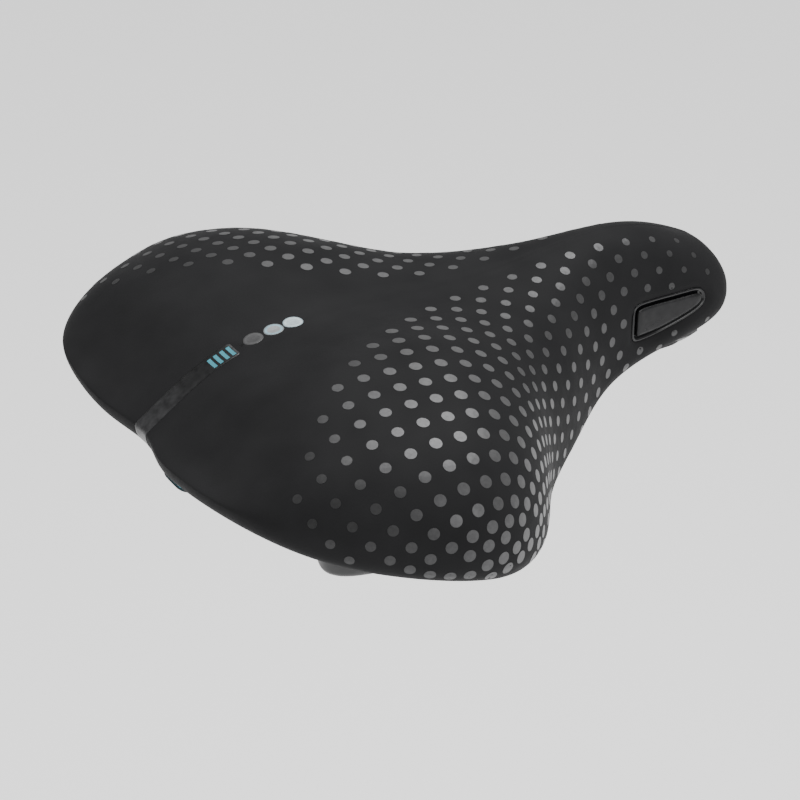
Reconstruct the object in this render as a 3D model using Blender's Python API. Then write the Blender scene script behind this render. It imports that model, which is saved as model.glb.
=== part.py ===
"""A wide padded bicycle saddle: a rail frame that the seat post clamps, and a sprung seat on top of it.

+Y points to the nose, +X to the rider's right, +Z up.  The origin is midway between the rails, at the
middle of their straight clamping length.  Sizes are in metres.
"""
import math

import bmesh
import bpy
import numpy as np
from mathutils import Matrix, Vector
from mathutils.bvhtree import BVHTree

MM = 0.001

# ---- driving dimensions -------------------------------------------------------------------------
SADDLE_LENGTH = 243.0 * MM
SADDLE_WIDTH = 225.4 * MM
REAR_Y = -114.0 * MM               # rearmost line of the cover, behind the clamp's middle
TOP_HEIGHT = 70.2 * MM             # centre line of the seat above the rails, at the rider's seat bones

RAIL_DIAMETER = 7.0 * MM
RAIL_SPACING = 44.0 * MM           # centre to centre, as every seat-post clamp expects
RAIL_STRAIGHT = 76.0 * MM
RAIL_FLARE = 3.0 * MM              # each rail's rear end, out from its straight part
RAIL_END_RISE = 14.0 * MM
RAIL_END_IN = 18.5 * MM            # forward of the centre block's middle

GAP = 0.3 * MM                     # left between pieces that touch
SLIVER = 0.03 * MM
COVER_THICKNESS = 1.2 * MM
HEM_LIP = 7.0 * MM                 # how far the cover is folded in under the edge
HEM_CURL = 6.0 * MM                # how far the flank rolls inwards before the lip
SHELL_THICKNESS = 3.0 * MM
SHELL_INSET = 6.5 * MM             # shell edge, in from the widest line of the cover
SHELL_RISE = 6.5 * MM              # top of the shell's edge above the hem
PAD_DEPTH = 22.0 * MM              # padding over the middle of the shell

GEL_LENGTH = 88.0 * MM
GEL_WIDTH = 56.0 * MM
GEL_DEPTH = 9.0 * MM
GEL_CENTRE = (0.23, 0.27)          # share of the width, share of the length

BUMPER_CENTRE = (58.0 * MM, 54.6 * MM)   # out from the middle, forward of the rear line
BUMPER_HALF = (10.0 * MM, 14.5 * MM)
BUMPER_TURN = math.radians(-17.0)
BUMPER_BOTTOM = 10.0 * MM
BOOT_WALL = 3.2 * MM
BOOT_FOOT = 2.7 * MM               # chamfer round the foot of the boot
PAD_RISE = 2.0 * MM                # the bridge's pads stand this far up inside the boots
TRAVEL = 3.6 * MM                  # how far the seat sinks at the bumpers
CUP_CLEARANCE = 0.8 * MM
CUP_HEIGHT = 5.0 * MM

CENTRE_BLOCK_HALF = (10.5 * MM, 8.0 * MM)
CENTRE_BLOCK_FORWARD = 22.5 * MM   # middle of the block, forward of the rear line
CENTRE_BLOCK_BOTTOM = 22.7 * MM
CENTRE_FLANGE = 1.5 * MM

RIB_THICKNESS = 2.0 * MM
RIB_HEIGHT = 6.0 * MM
RIB_LADDER_HALF = 15.0 * MM
RIB_ROWS = [0.31, 0.43, 0.55, 0.67]      # share of the length
RIB_REACH = [0.62, 0.62, 0.42, 0.24]     # share of the half width

BRIDGE_THICKNESS = 2.6 * MM
BRIDGE_WIDTH = 14.0 * MM
BOLT_DIAMETER = 5.0 * MM

PIVOT_BACK = 28.0 * MM             # pivot axis behind the tip of the nose
PIVOT_HEIGHT = 27.4 * MM
NOSE_SPREAD = 7.0 * MM             # the wire's legs, out from the middle, inside the nose
BUSH_HALF = (11.8 * MM, 11.5 * MM, 4.6 * MM)
CLIP_HALF = (13.6 * MM, 19.5 * MM)
CLIP_DEPTH = 6.2 * MM
CLIP_KEEL = 0.62                   # width of the clip's lower face, share of its full width
NOSE_SCREW_DIAMETER = 3.2 * MM
HEAD_DEPTH = 0.38                  # of a bolt, share of its diameter

BADGE_LENGTH = 33.0 * MM
BADGE_HEIGHT = 13.5 * MM
BADGE_BACK = 33.0 * MM             # middle of the badge behind the tip of the nose
BADGE_HEIGHT_UP = 43.0 * MM
BADGE_DEPTH = 3.6 * MM
BADGE_RIM = 1.6 * MM

STRIP_WIDTH = 8.6 * MM
STRIP_RUN = (6.5 * MM, 42.5 * MM)  # forward of the rear line
DISC_FORWARD = (48.0 * MM, 55.8 * MM, 63.2 * MM)
DISC_RADIUS = 3.5 * MM
FILM = 0.5 * MM
STAPLE_LENGTH = 8.0 * MM
STAPLE_WIRE = 0.8 * MM

SOCKET_HALF = (6.2 * MM, 12.0 * MM)      # half width, half length along the rail
SOCKET_WALL = 1.9 * MM
SOCKET_REACH = 11.0 * MM
SOCKET_SCREW = 4.0 * MM
SOCKET_SCREW_BACK = 3.2 * MM

SIDES = {"left": -1.0, "right": 1.0}

# Half outline from the rear centre to the tip of the nose: share of the half width, share of the length.
OUTLINE = [
    (0.000, 0.022), (0.190, 0.004), (0.375, 0.000), (0.550, 0.017), (0.740, 0.065), (0.905, 0.160),
    (1.000, 0.305), (0.856, 0.416), (0.581, 0.520), (0.373, 0.636), (0.213, 0.763), (0.192, 0.850),
    (0.195, 0.940), (0.140, 0.994), (0.000, 1.000),
]
# Along the outline (0 rear centre, 1 nose): height of the hem, and of the flank above it.
HEM_AT = [0.0, 0.1, 0.2, 0.3, 0.4, 0.5, 0.62, 0.8, 1.0]
HEM_HEIGHT = [38.0, 42.8, 41.6, 33.8, 26.8, 17.4, 11.0, 20.4, 34.4]
FLANK_AT = [0.0, 0.25, 0.5, 0.75, 1.0]
FLANK_HEIGHT = [8.0, 7.0, 8.5, 7.5, 9.0]
LIP_AT = [0.0, 0.06, 0.11, 0.68, 0.80, 1.0]
LIP_SHARE = [0.15, 0.15, 1.0, 1.0, 0.15, 0.15]
SHOULDER_AT = [0.0, 0.4, 1.0]
SHOULDER_POWER = [3.1, 3.3, 2.2]
# Along the length (share of it): centre line against TOP_HEIGHT, and the two sitting lobes beside it.
CENTRE_AT = [-0.045, 0.165, 0.383, 0.601, 0.840, 1.070]
CENTRE_RISE = [-31.0, -4.1, 0.0, -0.5, 2.1, -22.2]
LOBE_AT = [-0.045, 0.142, 0.337, 0.535, 0.733, 1.086]
LOBE_RISE = [0.0, 7.9, 5.9, -0.8, -1.8, 0.0]
CREST_AT = [-0.045, 0.296, 0.687]
CREST_OUT = [0.298, 0.460, 0.192]
SLOPE_AT = [-0.045, 0.206, 0.469, 0.733, 1.086]
SLOPE_DROP = [-12.4, -3.7, 1.2, 0.2, 0.0]

SPINE_START = 0.165                # share of the length, at the rear
SPINE_RUN = 0.79
SPINE_FAN = 0.024
SPINE_STEP = 0.004
OUTLINE_STEPS = 40                 # per side
RING_STEPS = 9
FLANK_STEPS = 4


# ---- curves and surfaces ------------------------------------------------------------------------
def cubic(knots, values, at, ends):
    """Cubic spline through values at knots, read at each of `at`.  ends is 'flat', 'free' or 'closed'."""
    x = np.asarray(knots, float)
    y = np.asarray(values, float)
    n = len(x)
    step = np.diff(x)
    slope = np.diff(y) / step
    system = np.zeros((n, n))
    right = np.zeros(n)
    for i in range(1, n - 1):
        system[i, i - 1] = step[i - 1]
        system[i, i] = 2.0 * (step[i - 1] + step[i])
        system[i, i + 1] = step[i]
        right[i] = 6.0 * (slope[i] - slope[i - 1])
    if ends == "free":
        system[0, 0] = system[-1, -1] = 1.0
    elif ends == "flat":
        system[0, :2] = 2.0 * step[0], step[0]
        right[0] = 6.0 * slope[0]
        system[-1, -2:] = step[-1], 2.0 * step[-1]
        right[-1] = -6.0 * slope[-1]
    else:
        system[0, 0], system[0, -1] = 1.0, -1.0
        system[-1, 0] = 2.0 * step[0]
        system[-1, 1] = step[0]
        system[-1, -2] += step[-1]
        system[-1, -1] += 2.0 * step[-1]
        right[-1] = 6.0 * (slope[0] - slope[-1])
    bend = np.linalg.solve(system, right)
    at = np.asarray(at, float)
    i = np.clip(np.searchsorted(x, at) - 1, 0, n - 2)
    a = (x[i + 1] - at) / step[i]
    b = 1.0 - a
    cross = ((a**3 - a) * bend[i] + (b**3 - b) * bend[i + 1]) * step[i] ** 2 / 6.0
    return a * y[i] + b * y[i + 1] + cross


def smooth_steps(knots, values, at):
    """Values eased from one knot to the next, with no overshoot."""
    at = np.clip(np.asarray(at, float), knots[0], knots[-1])
    i = np.clip(np.searchsorted(knots, at) - 1, 0, len(knots) - 2)
    low = np.asarray(knots)[i]
    share = (at - low) / (np.asarray(knots)[i + 1] - low)
    share = share * share * (3.0 - 2.0 * share)
    values = np.asarray(values)
    return values[i] + (values[i + 1] - values[i]) * share


def outline_points(at):
    """Plan points (x, y) of the right half of the outline, 0 at the rear centre and 1 at the nose."""
    half = [(x * SADDLE_WIDTH / 2.0, REAR_Y + y * SADDLE_LENGTH) for x, y in OUTLINE]
    loop = half + [(-x, y) for x, y in half[-2:0:-1]] + [half[0]]
    loop = np.array(loop)
    run = np.concatenate([[0.0], np.cumsum(np.hypot(*np.diff(loop, axis=0).T))])
    knots = 2.0 * run / run[-1]
    return cubic(knots, loop[:, 0], at, "closed"), cubic(knots, loop[:, 1], at, "closed")


def outline_normals(px, py):
    """Outward plan normals of the right half of the outline."""
    nx, ny = np.gradient(py), -np.gradient(px)
    size = np.hypot(nx, ny)
    nx, ny = nx / size, ny / size
    nx[0] = nx[-1] = 0.0
    return nx, ny


def spine_y(y):
    """Where on the middle line each section that ends at the outline's heights y starts, rear to nose."""
    share = np.maximum.accumulate(np.maximum((np.asarray(y) - REAR_Y) / SADDLE_LENGTH, SPINE_FAN))
    kept = share[0]
    for k, value in enumerate(share):
        if value - kept < SPINE_STEP:
            share[k] = kept
        kept = share[k]
    return REAR_Y + SADDLE_LENGTH * (SPINE_START + SPINE_RUN * np.minimum(share, 1.0))


def top_height(x, y):
    """Height of the seat's upper surface over the plan, before its shoulders roll over."""
    share = (y - REAR_Y) / SADDLE_LENGTH
    out = np.abs(x) / (cubic_line(CREST_AT, CREST_OUT, share) * SADDLE_WIDTH / 2.0)
    rise = np.clip(out, 0.0, 1.0) ** 2 * (3.0 - 2.0 * np.clip(out, 0.0, 1.0))
    beyond = np.clip(out - 1.0, 0.0, 3.0)
    height = cubic(CENTRE_AT, CENTRE_RISE, share, "free")
    height = height + smooth_steps(LOBE_AT, LOBE_RISE, share) * rise
    height = height - smooth_steps(SLOPE_AT, SLOPE_DROP, share) * beyond**2
    return TOP_HEIGHT + height * MM


def cubic_line(knots, values, at):
    """Straight lines from knot to knot."""
    return np.interp(at, knots, values)


def skin_rings():
    """Rings of the cover's outer surface, from the middle line out to the hem, each once round the saddle."""
    at = np.linspace(0.0, 1.0, OUTLINE_STEPS + 1)
    px, py = outline_points(at)
    px[0] = px[-1] = 0.0
    start = spine_y(py)
    hem = cubic(HEM_AT, HEM_HEIGHT, at, "flat") * MM
    flank = smooth_steps(FLANK_AT, FLANK_HEIGHT, at) * MM
    power = np.interp(at, SHOULDER_AT, SHOULDER_POWER)
    rings = []
    for t in np.linspace(0.0, 1.0, RING_STEPS + 1) ** 0.7:
        x = px * t
        y = start + (py - start) * t
        roll = 1.0 - np.maximum(1.0 - t**power, 0.0) ** (1.0 / 2.2)
        z = top_height(x, y) * (1.0 - roll) + (hem + flank) * roll
        rings.append(np.stack([x, y, z], 1))
    nx, ny = outline_normals(px, py)
    for angle in np.linspace(0.0, math.pi / 2.0, FLANK_STEPS + 1)[1:]:
        inward = HEM_CURL * (1.0 - math.cos(angle))
        ring = np.stack([px - nx * inward, py - ny * inward, hem + flank * (1.0 - math.sin(angle))], 1)
        ring[:, 0] = np.maximum(ring[:, 0], 0.0)
        rings.append(ring)
    inward = HEM_CURL + HEM_LIP * np.interp(at, LIP_AT, LIP_SHARE)
    lip = np.stack([px - nx * inward, py - ny * inward, hem], 1)
    lip[:, 0] = np.maximum(lip[:, 0], 0.0)
    rings.append(lip)
    return rings


def whole(ring):
    """A right-hand ring and its mirror image as one closed loop."""
    left = ring[-2:0:-1] * np.array([-1.0, 1.0, 1.0])
    return np.concatenate([ring, left])


def inset_rings(rings, depth):
    """Rings moved inwards along the surface's normal."""
    loops = [whole(ring) for ring in rings]
    grid = np.stack(loops)
    along = np.roll(grid, -1, 1) - np.roll(grid, 1, 1)
    across = np.gradient(grid, axis=0)
    normal = np.cross(across, along)
    size = np.linalg.norm(normal, axis=2, keepdims=True)
    normal = normal / np.maximum(size, 1e-12)
    flat = size[..., 0] < 1e-9
    normal[flat] = (0.0, 0.0, 1.0)
    normal[0] = spine_normal(grid[0, :, 1])
    return list(grid - normal * depth)


def spine_normal(y):
    """Upward normal of the seat on its middle line."""
    step = 0.5 * MM
    slope = (top_height(0.0 * y, y + step) - top_height(0.0 * y, y - step)) / (2.0 * step)
    size = np.hypot(slope, 1.0)
    return np.stack([0.0 * y, -slope / size, 1.0 / size], 1)


def mesh_object(name, points, faces, material, merge=1e-6):
    """A mesh object from plain lists, welded and with its faces turned outwards."""
    mesh = bpy.data.meshes.new(name)
    mesh.from_pydata([tuple(p) for p in points], [], faces)
    bm = bmesh.new()
    bm.from_mesh(mesh)
    bmesh.ops.remove_doubles(bm, verts=bm.verts, dist=merge)
    bmesh.ops.dissolve_degenerate(bm, edges=bm.edges, dist=merge)
    bmesh.ops.recalc_face_normals(bm, faces=bm.faces)
    bm.to_mesh(mesh)
    bm.free()
    return add_object(name, mesh, material)


def add_object(name, mesh, material):
    mesh.materials.clear()
    mesh.materials.append(material)
    mesh.shade_smooth()
    mesh.set_sharp_from_angle(angle=math.radians(35.0))
    obj = bpy.data.objects.new(name, mesh)
    bpy.context.scene.collection.objects.link(obj)
    return obj


def loft(loops, cap_start=False, cap_end=False):
    """Points and faces of a skin through equal closed loops."""
    count = len(loops[0])
    points = [p for loop in loops for p in loop]
    faces = []
    for k in range(len(loops) - 1):
        for i in range(count):
            j = (i + 1) % count
            a, b = k * count, (k + 1) * count
            corners = (a + i, a + j, b + j, b + i)
            first = math.dist(points[corners[0]], points[corners[2]])
            second = math.dist(points[corners[1]], points[corners[3]])
            if first <= second:
                faces += [corners[:3], (corners[0], corners[2], corners[3])]
            else:
                faces += [(corners[0], corners[1], corners[3]), corners[1:]]
    if cap_start:
        faces.append(tuple(range(count))[::-1])
    if cap_end:
        faces.append(tuple(range((len(loops) - 1) * count, len(loops) * count)))
    return points, faces


def rounded_box_loop(half_x, half_y, power=2.6, steps=24, turn=0.0, centre=(0.0, 0.0)):
    """Plan loop of a box with very round corners."""
    loop = []
    for i in range(steps):
        a = 2.0 * math.pi * i / steps
        c, s = math.cos(a), math.sin(a)
        r = (abs(c) ** power + abs(s) ** power) ** (-1.0 / power)
        x, y = half_x * r * c, half_y * r * s
        loop.append((centre[0] + x * math.cos(turn) - y * math.sin(turn),
                     centre[1] + x * math.sin(turn) + y * math.cos(turn)))
    return loop


def raised(loop, z):
    return [(x, y, z) for x, y in loop]


def prism(name, loop, low, high, material, chamfer=0.0, centre=(0.0, 0.0)):
    """A plan loop stood up between two heights, with an optional chamfer round its foot."""
    if chamfer <= 0.0:
        loops = [raised(loop, low), raised(loop, high)]
    else:
        reach = max(math.hypot(x - centre[0], y - centre[1]) for x, y in loop)
        share = 1.0 - chamfer / reach
        small = [(centre[0] + (x - centre[0]) * share, centre[1] + (y - centre[1]) * share) for x, y in loop]
        loops = [raised(small, low), raised(loop, low + chamfer), raised(loop, high)]
    points, faces = loft(loops, True, True)
    return mesh_object(name, points, faces, material)


def cylinder(name, radius, low, high, place, material, steps=20, axis="Z"):
    """A round bar from low to high along axis, through place on the other two."""
    loops = []
    for end in (low, high):
        loop = []
        for i in range(steps):
            a = 2.0 * math.pi * i / steps
            u, v = radius * math.cos(a), radius * math.sin(a)
            if axis == "Z":
                loop.append((place[0] + u, place[1] + v, end))
            else:
                loop.append((end, place[0] + u, place[1] + v))
        loops.append(loop)
    points, faces = loft(loops, True, True)
    return mesh_object(name, points, faces, material)


def box(name, low, high, material):
    x0, y0, z0 = low
    x1, y1, z1 = high
    points = [(x0, y0, z0), (x1, y0, z0), (x1, y1, z0), (x0, y1, z0),
              (x0, y0, z1), (x1, y0, z1), (x1, y1, z1), (x0, y1, z1)]
    faces = [(0, 3, 2, 1), (4, 5, 6, 7), (0, 1, 5, 4), (1, 2, 6, 5), (2, 3, 7, 6), (3, 0, 4, 7)]
    return mesh_object(name, points, faces, material)


def combine(target, tool, operation):
    """Adds a live exact Boolean; a cutter or a joined-in body is kept as a hidden helper."""
    modifier = target.modifiers.new(operation.lower() + "_" + tool.name, "BOOLEAN")
    modifier.operation = operation
    modifier.solver = "EXACT"
    modifier.object = tool
    tool.hide_render = True
    tool.display_type = "WIRE"


def cut(target, tool):
    combine(target, tool, "DIFFERENCE")


def join(target, tool):
    combine(target, tool, "UNION")


def settle(obj):
    """Turns the Booleans so far into plain mesh and clears slivers, so the next one starts clean."""
    bpy.context.view_layer.update()
    mesh = bpy.data.meshes.new_from_object(obj.evaluated_get(bpy.context.evaluated_depsgraph_get()))
    bm = bmesh.new()
    bm.from_mesh(mesh)
    bmesh.ops.triangulate(bm, faces=bm.faces)
    bmesh.ops.remove_doubles(bm, verts=bm.verts, dist=SLIVER)
    bmesh.ops.dissolve_degenerate(bm, edges=bm.edges, dist=SLIVER)
    bmesh.ops.recalc_face_normals(bm, faces=bm.faces)
    bm.to_mesh(mesh)
    bm.free()
    tools = [m.object for m in obj.modifiers if m.type == "BOOLEAN"]
    obj.modifiers.clear()
    obj.data = mesh
    for tool in tools:
        bpy.data.objects.remove(tool)


def material(name, colour, roughness, metallic=0.0):
    made = bpy.data.materials.new(name)
    made.use_nodes = True
    shader = made.node_tree.nodes["Principled BSDF"]
    shader.inputs["Base Color"].default_value = (*colour, 1.0)
    shader.inputs["Roughness"].default_value = roughness
    shader.inputs["Metallic"].default_value = metallic
    return made


# ---- the seat's soft layers ---------------------------------------------------------------------
def shell_rings(drop):
    """Rings of the shell's upper surface lowered by drop, from the middle line to its edge."""
    at = np.linspace(0.0, 1.0, OUTLINE_STEPS + 1)
    px, py = outline_points(at)
    px[0] = px[-1] = 0.0
    start = spine_y(py)
    hem = cubic(HEM_AT, HEM_HEIGHT, at, "flat") * MM
    nx, ny = outline_normals(px, py)
    ex, ey = np.maximum(px - nx * SHELL_INSET, 0.0), py - ny * SHELL_INSET
    edge = hem + SHELL_RISE
    middle = top_height(0.0 * start, start) - PAD_DEPTH
    rings = []
    for t in np.linspace(0.0, 1.0, RING_STEPS) ** 0.85:
        z = edge + (middle - edge) * (1.0 - t**2.4)
        rings.append(np.stack([ex * t, start + (ey - start) * t, z - drop], 1))
    return rings


def make_cover(finish):
    """The printed soft-touch cover: a thin skin over the top and flanks, folded in under the edge."""
    rings = skin_rings()
    outer = [whole(ring) for ring in rings]
    inner = inset_rings(rings, COVER_THICKNESS)
    points, faces = loft(outer + inner[::-1])
    return mesh_object("cover", points, faces, finish, 2e-5)


def make_foam(finish):
    """The moulded foam between the cover and the shell."""
    rings = skin_rings()
    upper = inset_rings(rings, COVER_THICKNESS + GAP)[:RING_STEPS + 3]
    lower = [whole(ring) for ring in shell_rings(-2.0 * GAP)]
    points, faces = loft(upper + lower[::-1])
    return mesh_object("foam_padding", points, faces, finish, 2e-5)


def surface_below(obj):
    """A reader of the highest point of obj at a plan place."""
    tree = BVHTree.FromObject(obj, bpy.context.evaluated_depsgraph_get())

    def height(x, y):
        hit = tree.ray_cast(Vector((x, y, 0.5)), Vector((0.0, 0.0, -1.0)))
        return hit[0].z
    return height


def surface_above(obj):
    """A reader of the lowest point of obj at a plan place, seen from below."""
    tree = BVHTree.FromObject(obj, bpy.context.evaluated_depsgraph_get())

    def height(x, y):
        hit = tree.ray_cast(Vector((x, y, -0.5)), Vector((0.0, 0.0, 1.0)))
        return hit[0].z
    return height


def gel_loops(side, top, grow, lift):
    """Loops of one gel pad from its rim down to its flat floor, grown and lifted for a cutter."""
    cx = GEL_CENTRE[0] * SADDLE_WIDTH * side
    cy = REAR_Y + GEL_CENTRE[1] * SADDLE_LENGTH
    loops = []
    for share, depth in ((0.0, None), (0.45, None), (0.8, None), (1.0, None), (1.0, 0.35), (0.88, 1.0), (0.0, 1.0)):
        loop = []
        for x, y in rounded_box_loop(GEL_WIDTH / 2.0 + grow, GEL_LENGTH / 2.0 + grow, 2.2, 28, 0.18 * side):
            px, py = cx + x * share, cy + y * share
            z = top(px, py)
            z = z + lift if depth is None else z - depth * GEL_DEPTH - grow
            loop.append((px, py, z))
        loops.append(loop)
    return loops


def make_gel_pads(foam, finish):
    """Two gel pads set flush into pockets of the foam, under the sitting lobes."""
    top = surface_below(foam)
    pads = []
    for word, side in SIDES.items():
        points, faces = loft(gel_loops(side, top, 0.0, -GAP))
        pads.append(mesh_object("gel_pad_" + word, points, faces, finish, 2e-5))
        points, faces = loft(gel_loops(side, top, GAP, 3.0 * MM))
        cutter = mesh_object("cut_gel_" + word, points, faces, finish, 2e-5)
        cut(foam, cutter)
    return pads


# ---- the shell ----------------------------------------------------------------------------------
def make_shell(finish):
    """The moulded base that carries the padding, before its bosses and ribs are joined on."""
    upper = [whole(ring) for ring in shell_rings(0.0)]
    lower = [whole(ring) for ring in shell_rings(SHELL_THICKNESS)]
    points, faces = loft(upper + lower[::-1])
    return mesh_object("base_shell", points, faces, finish, 2e-5)


def boss_floor(loop, under):
    """Height of a flat boss that stands proud of the shell's underside all round its loop."""
    return min(under(x, y) for x, y in loop) - 1.2 * MM


def add_boss(shell, name, loop, centre, floor, under, finish):
    """A solid foot under the shell, flat at floor and rooted in the shell's thickness."""
    root = SHELL_THICKNESS / 2.0
    loops = [raised(loop, floor)]
    for share in (1.0, 0.6, 0.0):
        ring = [(centre[0] + (x - centre[0]) * share, centre[1] + (y - centre[1]) * share) for x, y in loop]
        loops.append([(x, y, under(x, y) + root) for x, y in ring])
    points, faces = loft(loops, cap_start=True)
    join(shell, mesh_object(name, points, faces, finish, 2e-5))
    settle(shell)


def add_rib(shell, name, start, end, height, under, finish):
    """A thin rib under the shell from start to end, tallest in its middle."""
    steps = 13
    run = Vector((end[0] - start[0], end[1] - start[1], 0.0))
    across = Vector((-run.y, run.x, 0.0)).normalized() * RIB_THICKNESS / 2.0
    loops = []
    for k in range(steps + 1):
        share = k / steps
        x, y = start[0] + run.x * share, start[1] + run.y * share
        z = under(x, y)
        low = z - height * (0.25 + 0.75 * math.sin(math.pi * share))
        high = z + SHELL_THICKNESS / 2.0
        loops.append([(x - across.x, y - across.y, low), (x + across.x, y + across.y, low),
                      (x + across.x, y + across.y, high), (x - across.x, y - across.y, high)])
    points, faces = loft(loops, True, True)
    join(shell, mesh_object(name, points, faces, finish))
    settle(shell)


def rib_shell(shell, under, finish):
    """A ladder of ribs under the middle of the shell."""
    for word, side in SIDES.items():
        out = RIB_LADDER_HALF * side
        start = (out, REAR_Y + 0.20 * SADDLE_LENGTH)
        add_rib(shell, "rib_long_" + word, start, (out * 0.7, pivot_y() - 24.0 * MM), RIB_HEIGHT, under, finish)
    for k, share in enumerate(RIB_ROWS):
        y = REAR_Y + share * SADDLE_LENGTH
        reach = RIB_REACH[k] * SADDLE_WIDTH / 2.0
        add_rib(shell, "rib_cross_" + str(k), (-reach, y), (reach, y), RIB_HEIGHT, under, finish)


# ---- places that several pieces share -----------------------------------------------------------
def nose_y():
    return REAR_Y + SADDLE_LENGTH


def pivot_y():
    return nose_y() - PIVOT_BACK


def bumper_place(side):
    return BUMPER_CENTRE[0] * side, REAR_Y + BUMPER_CENTRE[1]


def bumper_loop(side, inset, steps=28):
    half_x, half_y = BUMPER_HALF[0] - inset, BUMPER_HALF[1] - inset
    return rounded_box_loop(half_x, half_y, 2.6, steps, BUMPER_TURN * side, bumper_place(side))


def centre_place():
    return 0.0, REAR_Y + CENTRE_BLOCK_FORWARD


def bridge_top():
    """Upper face of the bridge's end pads, and of its raised middle."""
    return BUMPER_BOTTOM + PAD_RISE + BRIDGE_THICKNESS, CENTRE_BLOCK_BOTTOM - GAP


def bridge_middle_y():
    return REAR_Y + CENTRE_BLOCK_FORWARD + CENTRE_BLOCK_HALF[1] + BRIDGE_WIDTH / 2.0 - 4.5 * MM


# ---- rail frame ---------------------------------------------------------------------------------
def bent(corners, radii, arc_steps=7):
    """A run of points along straight legs with their corners rounded to the given radii."""
    points = [Vector(corners[0])]
    for k in range(1, len(corners) - 1):
        here = Vector(corners[k])
        back = (Vector(corners[k - 1]) - here).normalized()
        ahead = (Vector(corners[k + 1]) - here).normalized()
        half = back.angle(ahead) / 2.0
        reach = radii[k] / math.tan(half)
        middle = here + (back + ahead).normalized() * radii[k] / math.sin(half)
        start, end = here + back * reach - middle, here + ahead * reach - middle
        for i in range(arc_steps + 1):
            points.append(middle + turned(start, end, i / arc_steps))
    points.append(Vector(corners[-1]))
    return points


def turned(start, end, share):
    """The vector part of the way round the arc from start to end, about their shared centre."""
    angle = start.angle(end)
    return (start * math.sin((1.0 - share) * angle) + end * math.sin(share * angle)) / math.sin(angle)


def wire_corners():
    """Corners of the right half of the wire, from its rear end to the nose, then of the left half."""
    half = RAIL_SPACING / 2.0
    rear = REAR_Y + CENTRE_BLOCK_FORWARD
    right = [(half + RAIL_FLARE, rear + RAIL_END_IN, RAIL_END_RISE),
             (half, -RAIL_STRAIGHT / 2.0 - 7.0 * MM, 0.0),
             (half, RAIL_STRAIGHT / 2.0 + 8.5 * MM, 0.0),
             (NOSE_SPREAD + 1.0 * MM, pivot_y() - 26.0 * MM, PIVOT_HEIGHT - 7.0 * MM),
             (NOSE_SPREAD, pivot_y() + NOSE_SPREAD, PIVOT_HEIGHT)]
    return right + [(-x, y, z) for x, y, z in right[::-1]]


def tube(name, points, radius, finish, resolution=3):
    """A round bar along points, as a plain mesh with closed ends."""
    curve = bpy.data.curves.new(name + "_path", "CURVE")
    curve.dimensions = "3D"
    spline = curve.splines.new("POLY")
    spline.points.add(len(points) - 1)
    for target, p in zip(spline.points, points):
        target.co = (p[0], p[1], p[2], 1.0)
    curve.bevel_depth = radius
    curve.bevel_resolution = resolution
    curve.use_fill_caps = True
    holder = bpy.data.objects.new(name + "_path", curve)
    bpy.context.scene.collection.objects.link(holder)
    bpy.context.view_layer.update()
    mesh = bpy.data.meshes.new_from_object(holder.evaluated_get(bpy.context.evaluated_depsgraph_get()))
    bpy.data.objects.remove(holder)
    bm = bmesh.new()
    bm.from_mesh(mesh)
    bmesh.ops.remove_doubles(bm, verts=bm.verts, dist=1e-6)
    bmesh.ops.recalc_face_normals(bm, faces=bm.faces)
    bm.to_mesh(mesh)
    bm.free()
    mesh.name = name
    return add_object(name, mesh, finish)


def wire_points():
    radii = [0.0, 25.0 * MM, 22.0 * MM, 20.0 * MM, NOSE_SPREAD * 0.97,
             NOSE_SPREAD * 0.97, 20.0 * MM, 22.0 * MM, 25.0 * MM, 0.0]
    return bent(wire_corners(), radii)


def bridge_path():
    """Middle line of the bridge plate's upper face from the left pad to the right pad."""
    pad, middle = bridge_top()
    x, y = bumper_place(1.0)
    cy = bridge_middle_y()
    right = [(12.0 * MM, cy, middle), (32.5 * MM, cy + 6.5 * MM, middle),
             (x - 11.5 * MM, y, pad), (x + 4.2 * MM, y, pad)]
    return [(-px, py, pz) for px, py, pz in right[::-1]] + right


def make_bridge(finish):
    """The pressed steel bridge across the rails' rear ends: a raised middle and two end pads."""
    loops = []
    path = [Vector(p) for p in bridge_path()]
    for k, p in enumerate(path):
        before, after = path[max(k - 1, 0)], path[min(k + 1, len(path) - 1)]
        run = (after - before)
        run.z = 0.0
        across = Vector((-run.y, run.x, 0.0)).normalized() * BRIDGE_WIDTH / 2.0
        share = 0.62 if k in (0, len(path) - 1) else 1.0
        a, b = p - across * share, p + across * share
        down = Vector((0.0, 0.0, -BRIDGE_THICKNESS))
        loops.append([a, b, b + down, a + down])
    points, faces = loft(loops, True, True)
    bridge = mesh_object("rear_bridge", points, faces, finish)
    bevel = bridge.modifiers.new("soft_edges", "BEVEL")
    bevel.width = 0.4 * MM
    bevel.segments = 2
    bevel.limit_method = "ANGLE"
    return bridge


def hexagon(centre, across_flats):
    radius = across_flats / math.sqrt(3.0)
    return [(centre[0] + radius * math.cos(k * math.pi / 3.0), centre[1] + radius * math.sin(k * math.pi / 3.0))
            for k in range(6)]


def make_bolt(name, place, head_low, shank_high, diameter, finish):
    """A hex bolt standing head down."""
    depth = diameter * HEAD_DEPTH
    head = prism(name, hexagon(place, diameter * 1.6), head_low, head_low + depth, finish)
    shank = cylinder("shank_" + name, diameter / 2.0, head_low + depth / 2.0, shank_high, place, finish, 16)
    join(head, shank)
    return head


def make_nut(name, place, low, diameter, finish):
    nut = prism(name, hexagon(place, diameter * 1.6), low, low + diameter * 0.6, finish)
    bore = cylinder("bore_" + name, diameter / 2.0 + GAP, low - MM, low + diameter, place, finish, 16)
    cut(nut, bore)
    return nut


def bolt_hole(target, place, diameter, low, high, finish):
    cut(target, cylinder("hole_" + target.name + "_" + str(len(target.modifiers)),
                         diameter / 2.0 + GAP, low, high, place, finish, 16))


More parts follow.
